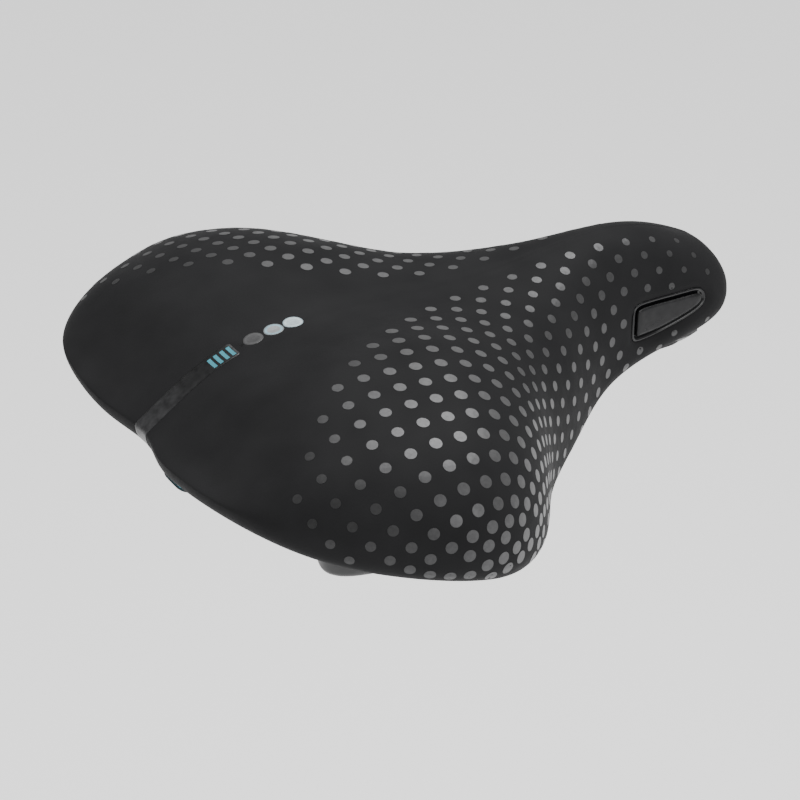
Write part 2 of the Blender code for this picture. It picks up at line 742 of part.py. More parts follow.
# ---- rear suspension ----------------------------------------------------------------------------
def make_bumper(word, side, bridge, boot_top, finishes):
    """One rear bumper: a cup bolted to the bridge, an elastomer on it, and a boot that hangs round both."""
    place = bumper_place(side)
    pad = bridge_top()[0]
    cup_low = pad + GAP
    cup_high = cup_low + CUP_HEIGHT
    inset = BOOT_WALL + CUP_CLEARANCE
    nut_high = cup_high - 0.4 * MM
    nut_low = nut_high - BOLT_DIAMETER * 0.6
    cup = prism("bumper_cup_" + word, bumper_loop(side, inset), cup_low, cup_high, finishes["cup"])
    pocket = prism("nut_pocket_" + word, hexagon(place, BOLT_DIAMETER * 1.6 + 2.0 * GAP),
                   nut_low - GAP, cup_high + MM, finishes["cup"])
    cut(cup, pocket)
    bolt_hole(cup, place, BOLT_DIAMETER, cup_low - MM, cup_high, finishes["cup"])
    bolt_hole(bridge, place, BOLT_DIAMETER, pad - 2.0 * BRIDGE_THICKNESS, pad + MM, finishes["steel"])
    make_nut("cup_nut_" + word, place, nut_low, BOLT_DIAMETER, finishes["zinc"])
    head_low = pad - BRIDGE_THICKNESS - GAP - BOLT_DIAMETER * HEAD_DEPTH
    make_bolt("cup_bolt_" + word, place, head_low, nut_high, BOLT_DIAMETER, finishes["zinc"])
    ceiling = boot_top - BOOT_WALL
    prism("elastomer_" + word, bumper_loop(side, inset), cup_high + GAP, ceiling - GAP, finishes["elastomer"])
    outer, inner = bumper_loop(side, 0.0), bumper_loop(side, BOOT_WALL)
    foot, half_foot = bumper_loop(side, BOOT_FOOT), bumper_loop(side, BOOT_FOOT * 0.3)
    loops = [raised(inner, ceiling), raised(inner, BUMPER_BOTTOM), raised(foot, BUMPER_BOTTOM),
             raised(half_foot, BUMPER_BOTTOM + BOOT_FOOT * 0.3), raised(outer, BUMPER_BOTTOM + BOOT_FOOT),
             raised(outer, boot_top)]
    points, faces = loft(loops, True, True)
    boot = mesh_object("bumper_boot_" + word, points, faces, finishes["boot"])
    reach = BRIDGE_WIDTH / 2.0 + 2.4 * MM
    inner_x = place[0] - side * (BUMPER_HALF[0] + BUMPER_HALF[1])
    notch = box("notch_" + word, (min(inner_x, place[0]), place[1] - reach, BUMPER_BOTTOM - MM),
                (max(inner_x, place[0]), place[1] + reach, pad + TRAVEL + 1.2 * MM), finishes["boot"])
    cut(boot, notch)


def make_centre_block(bridge, block_top, finishes):
    """The middle elastomer on its flanged foot, bolted to the raised middle of the bridge."""
    place = centre_place()
    _, top = bridge_top()
    bolt_at = (0.0, bridge_middle_y() + 2.0 * MM)
    flange_low = top + GAP
    flange_high = flange_low + CENTRE_FLANGE
    rear = place[1] - CENTRE_BLOCK_HALF[1]
    front = bolt_at[1] + BRIDGE_WIDTH / 2.0 - 1.0 * MM
    loop = rounded_box_loop(CENTRE_BLOCK_HALF[0], (front - rear) / 2.0, 4.0, 28, 0.0, (0.0, (front + rear) / 2.0))
    foot = prism("centre_foot", loop, flange_low, flange_high, finishes["cup"])
    bolt_hole(foot, bolt_at, BOLT_DIAMETER, flange_low - MM, flange_high + MM, finishes["cup"])
    bolt_hole(bridge, bolt_at, BOLT_DIAMETER, top - 2.0 * BRIDGE_THICKNESS, top + MM, finishes["steel"])
    head_low = top - BRIDGE_THICKNESS - GAP - BOLT_DIAMETER * HEAD_DEPTH
    nut_low = flange_high + GAP
    make_bolt("centre_bolt", bolt_at, head_low, nut_low + BOLT_DIAMETER * 0.75, BOLT_DIAMETER, finishes["zinc"])
    make_nut("centre_nut", bolt_at, nut_low, BOLT_DIAMETER, finishes["zinc"])
    half_x, half_y = CENTRE_BLOCK_HALF[0] - 0.3 * MM, CENTRE_BLOCK_HALF[1] - 0.3 * MM
    block = rounded_box_loop(half_x, half_y, 4.0, 28, 0.0, place)
    prism("elastomer_centre", block, flange_high + GAP, block_top - GAP, finishes["elastomer"])


# ---- nose suspension ----------------------------------------------------------------------------
def make_nose_mount(shell_floor, wire, finishes):
    """The wire's bend sits in a rubber block, held between a bracket and a clip screwed to the shell."""
    centre = (0.0, pivot_y())
    bush_low, bush_high = PIVOT_HEIGHT - BUSH_HALF[2], PIVOT_HEIGHT + BUSH_HALF[2]
    bush_loop = rounded_box_loop(BUSH_HALF[0], BUSH_HALF[1], 4.0, 28, 0.0, centre)
    bush = prism("nose_bush", bush_loop, bush_low, bush_high, finishes["rubber"])
    channel = tube("bush_channel", wire_points(), RAIL_DIAMETER / 2.0 + GAP, finishes["rubber"])
    cut(bush, channel)
    outer = rounded_box_loop(CLIP_HALF[0], CLIP_HALF[1], 5.0, 32, 0.0, centre)
    pocket_loop = rounded_box_loop(BUSH_HALF[0] + GAP, BUSH_HALF[1] + GAP, 4.0, 28, 0.0, centre)
    pocket = prism("bush_pocket", pocket_loop, bush_low - GAP, bush_high + GAP, finishes["bracket"])
    slot = tube("leg_slots", wire_points(), RAIL_DIAMETER / 2.0 + 0.9 * MM, finishes["bracket"])
    bracket = prism("nose_bracket", outer, PIVOT_HEIGHT + GAP, shell_floor - GAP, finishes["bracket"])
    clip_low, clip_high = PIVOT_HEIGHT - CLIP_DEPTH, PIVOT_HEIGHT - GAP
    keel = rounded_box_loop(CLIP_HALF[0] * CLIP_KEEL, CLIP_HALF[1] - 0.5 * MM, 5.0, 32, 0.0, centre)
    flank = clip_high - CLIP_DEPTH * 0.22
    points, faces = loft([raised(keel, clip_low), raised(outer, flank), raised(outer, clip_high)], True, True)
    clip = mesh_object("nose_clip", points, faces, finishes["bracket"])
    spread = (CLIP_HALF[1] + BUSH_HALF[1]) / 2.0
    for k, y in enumerate((centre[1] - spread, centre[1] + spread)):
        low, high = clip_low + GAP, shell_floor + SHELL_THICKNESS
        make_bolt("nose_screw_" + ("rear", "front")[k], (0.0, y), low, high, NOSE_SCREW_DIAMETER, finishes["zinc"])
        recess = cylinder("recess_" + str(k), NOSE_SCREW_DIAMETER * 1.05, clip_low - MM,
                          low + NOSE_SCREW_DIAMETER * HEAD_DEPTH + GAP, (0.0, y), finishes["bracket"], 20)
        cut(clip, recess)
    for target in (bracket, clip):
        cut(target, pocket)
        cut(target, slot)
        for y in (centre[1] - spread, centre[1] + spread):
            bolt_hole(target, (0.0, y), NOSE_SCREW_DIAMETER, PIVOT_HEIGHT - 20.0 * MM, shell_floor + MM,
                      finishes["bracket"])
    return [(0.0, centre[1] - spread), (0.0, centre[1] + spread)]


def nose_boss_loop():
    return rounded_box_loop(CLIP_HALF[0], CLIP_HALF[1], 5.0, 32, 0.0, (0.0, pivot_y()))


# ---- trim ---------------------------------------------------------------------------------------
def badge_outline(grow):
    """Side view (y, z) of the badge: a straight top, a round nose and a lower edge that climbs forward."""
    half, tall = BADGE_LENGTH / 2.0, BADGE_HEIGHT / 2.0
    shape = [(-1.00, -0.80), (-0.99, 0.10), (-0.90, 0.86), (-0.45, 1.00), (0.30, 1.03), (0.80, 1.00),
             (0.98, 0.62), (0.94, 0.10), (0.62, -0.30), (0.10, -0.70), (-0.40, -0.98), (-0.82, -1.04)]
    ring = np.array(shape + [shape[0]]) * np.array([half, tall])
    knots = np.arange(len(ring), dtype=float)
    at = np.linspace(0.0, len(ring) - 1.0, 33)[:-1]
    y, z = cubic(knots, ring[:, 0], at, "closed"), cubic(knots, ring[:, 1], at, "closed")
    ny, nz = np.roll(z, -1) - np.roll(z, 1), np.roll(y, 1) - np.roll(y, -1)
    size = np.hypot(ny, nz)
    turn = np.sign(np.sum(ny * y + nz * z))
    y, z = y + turn * grow * ny / size, z + turn * grow * nz / size
    return [(nose_y() - BADGE_BACK + a, BADGE_HEIGHT_UP + b) for a, b in zip(y, z)]


def badge_prism(name, grow, near, far, finish):
    """The badge's outline grown by `grow`, between two distances out from the middle plane."""
    loop = badge_outline(grow)
    points, faces = loft([[(near, y, z) for y, z in loop], [(far, y, z) for y, z in loop]], True, True)
    return mesh_object(name, points, faces, finish)


def make_badges(cover, foam, finishes):
    """On each side of the nose: a tray let into the cover, and a plate inside it."""
    tree = BVHTree.FromObject(cover, bpy.context.evaluated_depsgraph_get())
    face = max(tree.ray_cast(Vector((1.0, y, z)), Vector((-1.0, 0.0, 0.0)))[0].x for y, z in badge_outline(0.0))
    for word, side in SIDES.items():
        back, front = (face - BADGE_DEPTH) * side, (face + 0.3 * MM) * side
        tray = badge_prism("badge_tray_" + word, 0.0, back, front, finishes["tray"])
        well = badge_prism("badge_well_" + word, -BADGE_RIM, (face - 1.9 * MM) * side, (face + 2 * MM) * side,
                           finishes["tray"])
        cut(tray, well)
        badge_prism("badge_plate_" + word, -BADGE_RIM - 0.8 * MM, (face - 1.9 * MM + GAP) * side,
                    (face - 0.2 * MM) * side, finishes["plate"])
        opening = badge_prism("badge_opening_" + word, GAP, (face - BADGE_DEPTH - GAP) * side,
                              (face + 3.0 * MM) * side, finishes["tray"])
        cut(cover, opening)
        cut(foam, opening)


def film_on(name, loops_xy, height, finish):
    """A thin film lying just over the cover, from a list of plan loops."""
    bm_points, bm_faces = [], []
    for loop in loops_xy:
        low = [(x, y, height(x, y) + GAP) for x, y in loop]
        high = [(x, y, z + FILM) for x, y, z in low]
        points, faces = loft([low, high], True, True)
        shift = len(bm_points)
        bm_points += points
        bm_faces += [tuple(i + shift for i in face) for face in faces]
    return mesh_object(name, bm_points, bm_faces, finish)


def make_strip(cover, finishes):
    """The centre strip up the back of the seat, and three round marks in front of it."""
    height = surface_below(cover)
    steps = 14
    half = STRIP_WIDTH / 2.0
    low_y, high_y = REAR_Y + STRIP_RUN[0], REAR_Y + STRIP_RUN[1]
    rows = [low_y + (high_y - low_y) * k / steps for k in range(steps + 1)]
    loops = []
    for y in rows:
        low = [(x, y, height(x, y) + GAP) for x in (-half, 0.0, half)]
        high = [(x, y, z + FILM) for x, y, z in low[::-1]]
        loops.append(low + high)
    points, faces = loft(loops, True, True)
    mesh_object("centre_strip", points, faces, finishes["strip"])
    for k, forward in enumerate(DISC_FORWARD):
        loop = rounded_box_loop(DISC_RADIUS, DISC_RADIUS, 2.0, 20, 0.0, (0.0, REAR_Y + forward))
        word = ("rear", "middle", "front")[k]
        film_on("centre_disc_" + word, [loop], height, finishes["disc_" + word])


def make_staples(finish):
    """Wire staples that hold the folded hem to the underside of the shell's edge."""
    at = np.linspace(0.0, 1.0, OUTLINE_STEPS + 1)
    px, py = outline_points(at)
    hem = cubic(HEM_AT, HEM_HEIGHT, at, "flat") * MM
    nx, ny = outline_normals(px, py)
    for word, side in SIDES.items():
        for number, k in enumerate(range(3, OUTLINE_STEPS - 10, 5)):
            inward = HEM_CURL + HEM_LIP * 0.45
            cx, cy = px[k] - nx[k] * inward, py[k] - ny[k] * inward
            tx, ty = -ny[k], nx[k]
            slope = (hem[k + 1] - hem[k - 1]) / math.hypot(px[k + 1] - px[k - 1], py[k + 1] - py[k - 1])
            ring = []
            for a, b in ((-1, -1), (1, -1), (1, 1), (-1, 1)):
                along, wide = a * STAPLE_LENGTH / 2.0, b * STAPLE_WIRE / 2.0
                x = cx + tx * along - ty * wide
                y = cy + ty * along + tx * wide
                ring.append((side * x, y, hem[k] + slope * along - GAP))
            lower = [(x, y, z - STAPLE_WIRE) for x, y, z in ring]
            points, faces = loft([lower, ring], True, True)
            mesh_object("hem_staple_" + word + "_" + str(number + 1), points, faces, finish)


def make_sockets(bridge, finishes):
    """A moulded block on each rail end, screwed up to the flat of the bridge."""
    half, _ = SOCKET_HALF
    high = bridge_top()[1] - BRIDGE_THICKNESS - GAP
    points = wire_points()
    end, ahead = points[-1], points[-2]
    wall = RAIL_DIAMETER / 2.0 + GAP + SOCKET_WALL
    for word, side in SIDES.items():
        tip = Vector((abs(end.x) * side, end.y, end.z))
        run = Vector((abs(ahead.x) * side, ahead.y, ahead.z)) - tip
        along = run / run.y
        loops = []
        for forward, low_share, top in ((-7.5 * MM, 0.0, high), (-3.0 * MM, 0.75, high), (3.0 * MM, 1.0, high),
                                        (SOCKET_REACH, 1.0, None)):
            middle = tip + along * forward
            low = middle.z - wall if low_share == 1.0 else high - (high - middle.z + wall) * (0.42 + low_share * 0.58)
            up = min(middle.z + wall, high) if top is None else top
            loops.append([(middle.x - half, middle.y, low), (middle.x + half, middle.y, low),
                          (middle.x + half, middle.y, up), (middle.x - half, middle.y, up)])
        points_, faces = loft(loops, True, True)
        block = mesh_object("rail_socket_" + word, points_, faces, finishes["bracket"])
        bevel = block.modifiers.new("soft_edges", "BEVEL")
        bevel.width = 0.8 * MM
        bevel.segments = 2
        bevel.limit_method = "ANGLE"
        bore_run = [tip - along * GAP, tip + along * SOCKET_REACH * 2.0]
        cut(block, tube("socket_bore_" + word, bore_run, RAIL_DIAMETER / 2.0 + GAP, finishes["bracket"]))
        place = ((tip - along * SOCKET_SCREW_BACK).x, tip.y - SOCKET_SCREW_BACK)
        head_low = bridge_top()[1] + GAP
        screw = cylinder("socket_screw_" + word, SOCKET_SCREW * 0.95, head_low, head_low + 1.8 * MM, place,
                         finishes["zinc"], 20)
        shank_low = high - 4.0 * MM
        join(screw, cylinder("socket_shank_" + word, SOCKET_SCREW / 2.0, shank_low, head_low + MM, place,
                             finishes["zinc"], 16))
        bolt_hole(block, place, SOCKET_SCREW, shank_low - GAP, high + MM, finishes["bracket"])
        bolt_hole(bridge, place, SOCKET_SCREW, high - MM, head_low + MM, finishes["steel"])


def main():
    for old in list(bpy.data.objects):
        bpy.data.objects.remove(old)
    finishes = {
        "cover": material("soft_touch_cover", (0.035, 0.035, 0.038), 0.55),
        "foam": material("moulded_foam", (0.24, 0.24, 0.22), 0.9),
        "gel": material("gel", (0.20, 0.45, 0.62), 0.25),
        "shell": material("shell_plastic", (0.03, 0.03, 0.03), 0.5),
        "steel": material("black_steel", (0.05, 0.05, 0.055), 0.4, 0.8),
        "rail": material("rail_steel", (0.55, 0.56, 0.58), 0.3, 1.0),
        "zinc": material("zinc_steel", (0.66, 0.66, 0.64), 0.35, 1.0),
        "boot": material("grey_plastic", (0.11, 0.11, 0.115), 0.35),
        "cup": material("dark_plastic", (0.04, 0.045, 0.05), 0.4),
        "elastomer": material("cyan_elastomer", (0.16, 0.72, 0.84), 0.35),
        "rubber": material("black_rubber", (0.02, 0.02, 0.02), 0.8),
        "bracket": material("bracket_plastic", (0.05, 0.05, 0.05), 0.5),
        "tray": material("gloss_black", (0.01, 0.01, 0.01), 0.2),
        "plate": material("satin_grey", (0.12, 0.12, 0.125), 0.35),
        "strip": material("metallic_grey_film", (0.25, 0.25, 0.26), 0.35, 0.5),
        "disc_rear": material("grey_film", (0.35, 0.35, 0.36), 0.4, 0.3),
        "disc_middle": material("ringed_film", (0.50, 0.55, 0.60), 0.4, 0.2),
        "disc_front": material("pale_blue_film", (0.62, 0.72, 0.80), 0.4, 0.1),
    }
    cover = make_cover(finishes["cover"])
    foam = make_foam(finishes["foam"])
    bpy.context.view_layer.update()
    make_gel_pads(foam, finishes["gel"])
    make_strip(cover, finishes)
    make_badges(cover, foam, finishes)

    shell = make_shell(finishes["shell"])
    bpy.context.view_layer.update()
    under = surface_above(shell)
    boss_loops = {word: bumper_loop(side, 1.0 * MM) for word, side in SIDES.items()}
    boot_floor = min(boss_floor(loop, under) for loop in boss_loops.values())
    for word, side in SIDES.items():
        add_boss(shell, "boss_" + word, boss_loops[word], bumper_place(side), boot_floor, under, finishes["shell"])
    block_loop = rounded_box_loop(*CENTRE_BLOCK_HALF, 4.0, 24, 0.0, centre_place())
    block_floor = boss_floor(block_loop, under)
    add_boss(shell, "boss_centre", block_loop, centre_place(), block_floor, under, finishes["shell"])
    nose_floor = boss_floor(nose_boss_loop(), under)
    add_boss(shell, "boss_nose", nose_boss_loop(), (0.0, pivot_y()), nose_floor, under, finishes["shell"])
    rib_shell(shell, under, finishes["shell"])

    wire = tube("rail_wire", wire_points(), RAIL_DIAMETER / 2.0, finishes["rail"])
    bridge = make_bridge(finishes["steel"])
    make_sockets(bridge, finishes)
    for word, side in SIDES.items():
        make_bumper(word, side, bridge, boot_floor - GAP, finishes)
    make_centre_block(bridge, block_floor, finishes)
    for place in make_nose_mount(nose_floor, wire, finishes):
        bolt_hole(shell, place, NOSE_SCREW_DIAMETER, nose_floor - MM, nose_floor + SHELL_THICKNESS + 0.6 * MM,
                  finishes["shell"])
    make_staples(finishes["zinc"])


main()
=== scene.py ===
"""Looks of a wide comfort bicycle saddle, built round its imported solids."""
import math

import bmesh
import bpy
import numpy as np
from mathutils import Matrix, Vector
from mathutils.bvhtree import BVHTree


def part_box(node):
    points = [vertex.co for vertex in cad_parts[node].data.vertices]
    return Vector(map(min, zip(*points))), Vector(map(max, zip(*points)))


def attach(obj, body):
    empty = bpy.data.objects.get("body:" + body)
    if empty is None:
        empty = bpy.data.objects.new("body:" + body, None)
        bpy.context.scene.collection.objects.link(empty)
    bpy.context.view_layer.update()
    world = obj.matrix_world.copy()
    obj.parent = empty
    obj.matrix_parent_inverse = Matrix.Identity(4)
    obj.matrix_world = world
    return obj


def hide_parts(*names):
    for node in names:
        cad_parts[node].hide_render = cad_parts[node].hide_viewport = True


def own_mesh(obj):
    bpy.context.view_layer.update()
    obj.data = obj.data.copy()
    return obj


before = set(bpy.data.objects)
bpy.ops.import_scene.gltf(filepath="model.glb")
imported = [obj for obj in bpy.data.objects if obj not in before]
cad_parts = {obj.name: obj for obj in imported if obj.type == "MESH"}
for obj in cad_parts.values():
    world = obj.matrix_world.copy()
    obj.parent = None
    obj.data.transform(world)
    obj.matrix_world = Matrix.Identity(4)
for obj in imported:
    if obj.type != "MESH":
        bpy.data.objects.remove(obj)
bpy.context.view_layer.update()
MM = 0.001

# ---- Studio ---------------------------------------------------------------------------------------
# A white paper sweep lies well below the saddle, which hangs where a seat post would hold it. Three large
# soft lights stand overhead, at its side and behind it, and a faint even light comes from all round.
studio = bpy.context.scene.collection


def add_to_studio(name, data):
    """A new object in the scene that is no part of the saddle."""
    made = bpy.data.objects.new(name, data)
    studio.objects.link(made)
    return made


def aim(thing, target):
    """Turns a lamp or a camera to face a point."""
    thing.rotation_euler = (Vector(target) - thing.location).to_track_quat("-Z", "Y").to_euler()


floor_height = -0.75
floor_half = 80.0
floor_mesh = bpy.data.meshes.new("studio_floor")
floor_mesh.from_pydata([(-floor_half, -floor_half, floor_height), (floor_half, -floor_half, floor_height),
                        (floor_half, floor_half, floor_height), (-floor_half, floor_half, floor_height)],
                       [], [(0, 1, 2, 3)])
studio_floor = add_to_studio("studio_floor", floor_mesh)
floor_paint = bpy.data.materials.new("studio_paper")
floor_paint.use_nodes = True
paper = floor_paint.node_tree.nodes["Principled BSDF"]
paper.inputs["Base Color"].default_value = (0.93, 0.93, 0.93, 1.0)
paper.inputs["Roughness"].default_value = 0.9
paper.inputs["Emission Color"].default_value = (1.0, 1.0, 1.0, 1.0)
paper.inputs["Emission Strength"].default_value = 0.9
floor_mesh.materials.append(floor_paint)

world = bpy.data.worlds.new("studio_air")
world.use_nodes = True
world.node_tree.nodes["Background"].inputs["Color"].default_value = (1.0, 1.0, 1.0, 1.0)
world.node_tree.nodes["Background"].inputs["Strength"].default_value = 0.4
bpy.context.scene.world = world

for name, place, size, power in (("overhead_softbox", (-0.15, 0.35, 1.3), 1.0, 24.0),
                                 ("side_softbox", (1.5, 0.2, 0.75), 0.9, 10.0),
                                 ("rear_softbox", (-0.6, -1.5, 0.9), 0.9, 6.0)):
    lamp = bpy.data.lights.new(name, "AREA")
    lamp.shape = "SQUARE"
    lamp.size = size
    lamp.energy = power
    lit = add_to_studio(name, lamp)
    lit.location = place
    aim(lit, (0.0, 0.0, 0.05))

azimuth, elevation = math.radians(58.6), math.radians(29.6)
camera_distance, camera_roll = 0.6896, math.radians(-0.3)
camera_target = Vector((0.0019, -0.0098, 0.0289))
camera_back = Vector((math.sin(azimuth) * math.cos(elevation), -math.cos(azimuth) * math.cos(elevation),
                      math.sin(elevation)))
camera = bpy.data.cameras.new("camera")
camera.sensor_width = 36.0
camera.lens = 86.94
camera.clip_start = 0.01
camera_holder = add_to_studio("camera", camera)
camera_holder.location = camera_target + camera_back * camera_distance
aim(camera_holder, camera_target)
camera_holder.rotation_euler.rotate_axis("Z", camera_roll)
bpy.context.scene.camera = camera_holder

# ---- Cover ----------------------------------------------------------------------------------------
# The soft-touch skin over the padding: one moulded synthetic hide, matt black with a fine pebble grain,
# folded in under the edge. Its form follows rings from the middle line out to the hem.
cover_low, cover_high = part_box("cover")
seat_length = cover_high[1] - cover_low[1] - 0.5 * MM
seat_width = cover_high[0] - cover_low[0] - 0.6 * MM
rear_y = cover_low[1] + 0.3 * MM
seat_top = cover_high[2] - 5.2 * MM
hide_thickness = 1.2 * MM
hem_curl, hem_lip = 6.0 * MM, 7.0 * MM
plan_shape = [(0.000, 0.022), (0.190, 0.004), (0.375, 0.000), (0.550, 0.017), (0.740, 0.065), (0.905, 0.160),
              (1.000, 0.305), (0.856, 0.416), (0.581, 0.520), (0.373, 0.636), (0.213, 0.763), (0.192, 0.850),
              (0.195, 0.940), (0.140, 0.994), (0.000, 1.000)]
hem_at = [0.0, 0.1, 0.2, 0.3, 0.4, 0.5, 0.62, 0.8, 1.0]
hem_height = [38.0, 42.8, 41.6, 33.8, 26.8, 17.4, 11.0, 20.4, 34.4]
flank_at, flank_height = [0.0, 0.25, 0.5, 0.75, 1.0], [8.0, 7.0, 8.5, 7.5, 9.0]
lip_at, lip_share = [0.0, 0.06, 0.11, 0.68, 0.80, 1.0], [0.15, 0.15, 1.0, 1.0, 0.15, 0.15]
shoulder_at, shoulder_power = [0.0, 0.4, 1.0], [3.1, 3.3, 2.2]
centre_at, centre_rise = [-0.045, 0.165, 0.383, 0.601, 0.840, 1.070], [-31.0, -4.1, 0.0, -0.5, 2.1, -22.2]
lobe_at, lobe_rise = [-0.045, 0.142, 0.337, 0.535, 0.733, 1.086], [0.0, 7.9, 5.9, -0.8, -1.8, 0.0]
crest_at, crest_out = [-0.045, 0.296, 0.687], [0.298, 0.460, 0.192]
slope_at, slope_drop = [-0.045, 0.206, 0.469, 0.733, 1.086], [-12.4, -3.7, 1.2, 0.2, 0.0]
edge_rise, edge_blend = 1.5 * MM, 3.0 * MM
spine_rear, spine_run, spine_least, roll_power = 0.165, 0.79, 0.024, 2.2
cover_stations, cover_rings, flank_rings, lip_rings = 190, 64, 10, 5
mottle_spread = (0.3, 0.7)


def spline(knots, values, at, ends):
    """Cubic spline through values at knots, read at each of `at`. ends is flat, free or closed."""
    x, y = np.asarray(knots, float), np.asarray(values, float)
    n, step = len(x), np.diff(x)
    slope = np.diff(y) / step
    system, right = np.zeros((n, n)), np.zeros(n)
    for i in range(1, n - 1):
        system[i, i - 1:i + 2] = step[i - 1], 2.0 * (step[i - 1] + step[i]), step[i]
        right[i] = 6.0 * (slope[i] - slope[i - 1])
    if ends == "free":
        system[0, 0] = system[-1, -1] = 1.0
    elif ends == "flat":
        system[0, :2] = 2.0 * step[0], step[0]
        right[0] = 6.0 * slope[0]
        system[-1, -2:] = step[-1], 2.0 * step[-1]
        right[-1] = -6.0 * slope[-1]
    else:
        system[0, 0], system[0, -1] = 1.0, -1.0
        system[-1, 0], system[-1, 1] = 2.0 * step[0], step[0]
        system[-1, -2] += step[-1]
        system[-1, -1] += 2.0 * step[-1]
        right[-1] = 6.0 * (slope[0] - slope[-1])
    bend = np.linalg.solve(system, right)
    at = np.asarray(at, float)
    i = np.clip(np.searchsorted(x, at) - 1, 0, n - 2)
    a = (x[i + 1] - at) / step[i]
    b = 1.0 - a
    curve = ((a**3 - a) * bend[i] + (b**3 - b) * bend[i + 1]) * step[i] ** 2 / 6.0
    return a * y[i] + b * y[i + 1] + curve


def eased(knots, values, at):
    """Values eased from one knot to the next, with no overshoot."""
    knots, values = np.asarray(knots, float), np.asarray(values, float)
    at = np.clip(np.asarray(at, float), knots[0], knots[-1])
    i = np.clip(np.searchsorted(knots, at) - 1, 0, len(knots) - 2)
    share = (at - knots[i]) / (knots[i + 1] - knots[i])
    share = share * share * (3.0 - 2.0 * share)
    return values[i] + (values[i + 1] - values[i]) * share


def seat_height(x, y):
    """Height of the padded top over the plan, before its shoulders roll over."""
    share = (y - rear_y) / seat_length
    crest = spline(crest_at, crest_out, np.clip(share, crest_at[0], crest_at[-1]), "free")
    out = np.abs(x) / (crest * seat_width / 2.0)
    inside = np.clip(out, 0.0, 1.0)
    height = spline(centre_at, centre_rise, share, "free")
    height = height + eased(lobe_at, lobe_rise, share) * inside**2 * (3.0 - 2.0 * inside)
    height = height - eased(slope_at, slope_drop, share) * np.clip(out - 1.0, 0.0, 3.0) ** 2
    return seat_top + height * MM


def seat_outline(at):
    """Plan points and outward normals of the right half of the edge, 0 at the rear and 1 at the nose."""
    half = [(x * seat_width / 2.0, rear_y + y * seat_length) for x, y in plan_shape]
    loop = np.array(half + [(-x, y) for x, y in half[-2:0:-1]] + [half[0]])
    run = np.concatenate([[0.0], np.cumsum(np.hypot(*np.diff(loop, axis=0).T))])
    knots = 2.0 * run / run[-1]
    px, py = spline(knots, loop[:, 0], at, "closed"), spline(knots, loop[:, 1], at, "closed")
    px[0] = px[-1] = 0.0
    nx, ny = np.gradient(py, at), -np.gradient(px, at)
    size = np.hypot(nx, ny)
    nx, ny = nx / size, ny / size
    nx[0] = nx[-1] = 0.0
    return px, py, nx, ny


def hide_rings():
    """Right-half rings of the hide's outer face, from the middle line to the inner edge of its lip."""
    at = np.linspace(0.0, 1.0, cover_stations + 1)
    px, py, nx, ny = seat_outline(at)
    share = np.maximum.accumulate(np.maximum((py - rear_y) / seat_length, spine_least))
    start = rear_y + seat_length * (spine_rear + spine_run * np.minimum(share, 1.0))
    hem = spline(hem_at, hem_height, at, "flat") * MM
    flank = eased(flank_at, flank_height, at) * MM
    power = spline(shoulder_at, shoulder_power, at, "free")
    rings = []
    for angle in np.linspace(0.0, math.pi / 2.0, cover_rings + 1):
        t = np.minimum(math.sin(angle) ** (2.0 / power), 1.0)
        roll = 1.0 - max(math.cos(angle), 0.0) ** (2.0 / roll_power)
        x, y = px * t, start + (py - start) * t
        above = seat_height(x, y) - hem - flank - edge_rise
        top = hem + flank + edge_rise + 0.5 * (above + np.sqrt(above * above + edge_blend**2))
        rings.append(np.stack([x, y, top * (1.0 - roll) + (hem + flank) * roll], 1))
    for angle in np.linspace(0.0, math.pi / 2.0, flank_rings + 1)[1:]:
        inward = hem_curl * (1.0 - math.cos(angle))
        rings.append(np.stack([px - nx * inward, py - ny * inward, hem + flank * (1.0 - math.sin(angle))], 1))
    reach = hem_lip * np.interp(at, lip_at, lip_share)
    for k in range(1, lip_rings + 1):
        inward = hem_curl + reach * k / lip_rings
        rings.append(np.stack([px - nx * inward, py - ny * inward, hem], 1))
    for ring in rings:
        ring[:, 0] = np.maximum(ring[:, 0], 0.0)
    return rings


def mirrored(ring):
    """A right-half ring and its mirror image as one closed loop."""
    return np.concatenate([ring, ring[-2:0:-1] * np.array([-1.0, 1.0, 1.0])])


def sunk(grid, depth):
    """A grid of closed loops moved inwards by depth along the surface's normal."""
    along = np.roll(grid, -1, 1) - np.roll(grid, 1, 1)
    across = np.gradient(grid, axis=0)
    normal = np.cross(across, along)
    size = np.linalg.norm(normal, axis=2, keepdims=True)
    normal = np.where(size > 1e-12, normal / np.maximum(size, 1e-12), np.array([0.0, 0.0, 1.0]))
    y = grid[0, :, 1]
    slope = (seat_height(0.0 * y, y + 0.5 * MM) - seat_height(0.0 * y, y - 0.5 * MM)) / MM
    normal[0] = np.stack([0.0 * y, -slope, 1.0 + 0.0 * y], 1) / np.hypot(slope, 1.0)[:, None]
    return grid - normal * depth


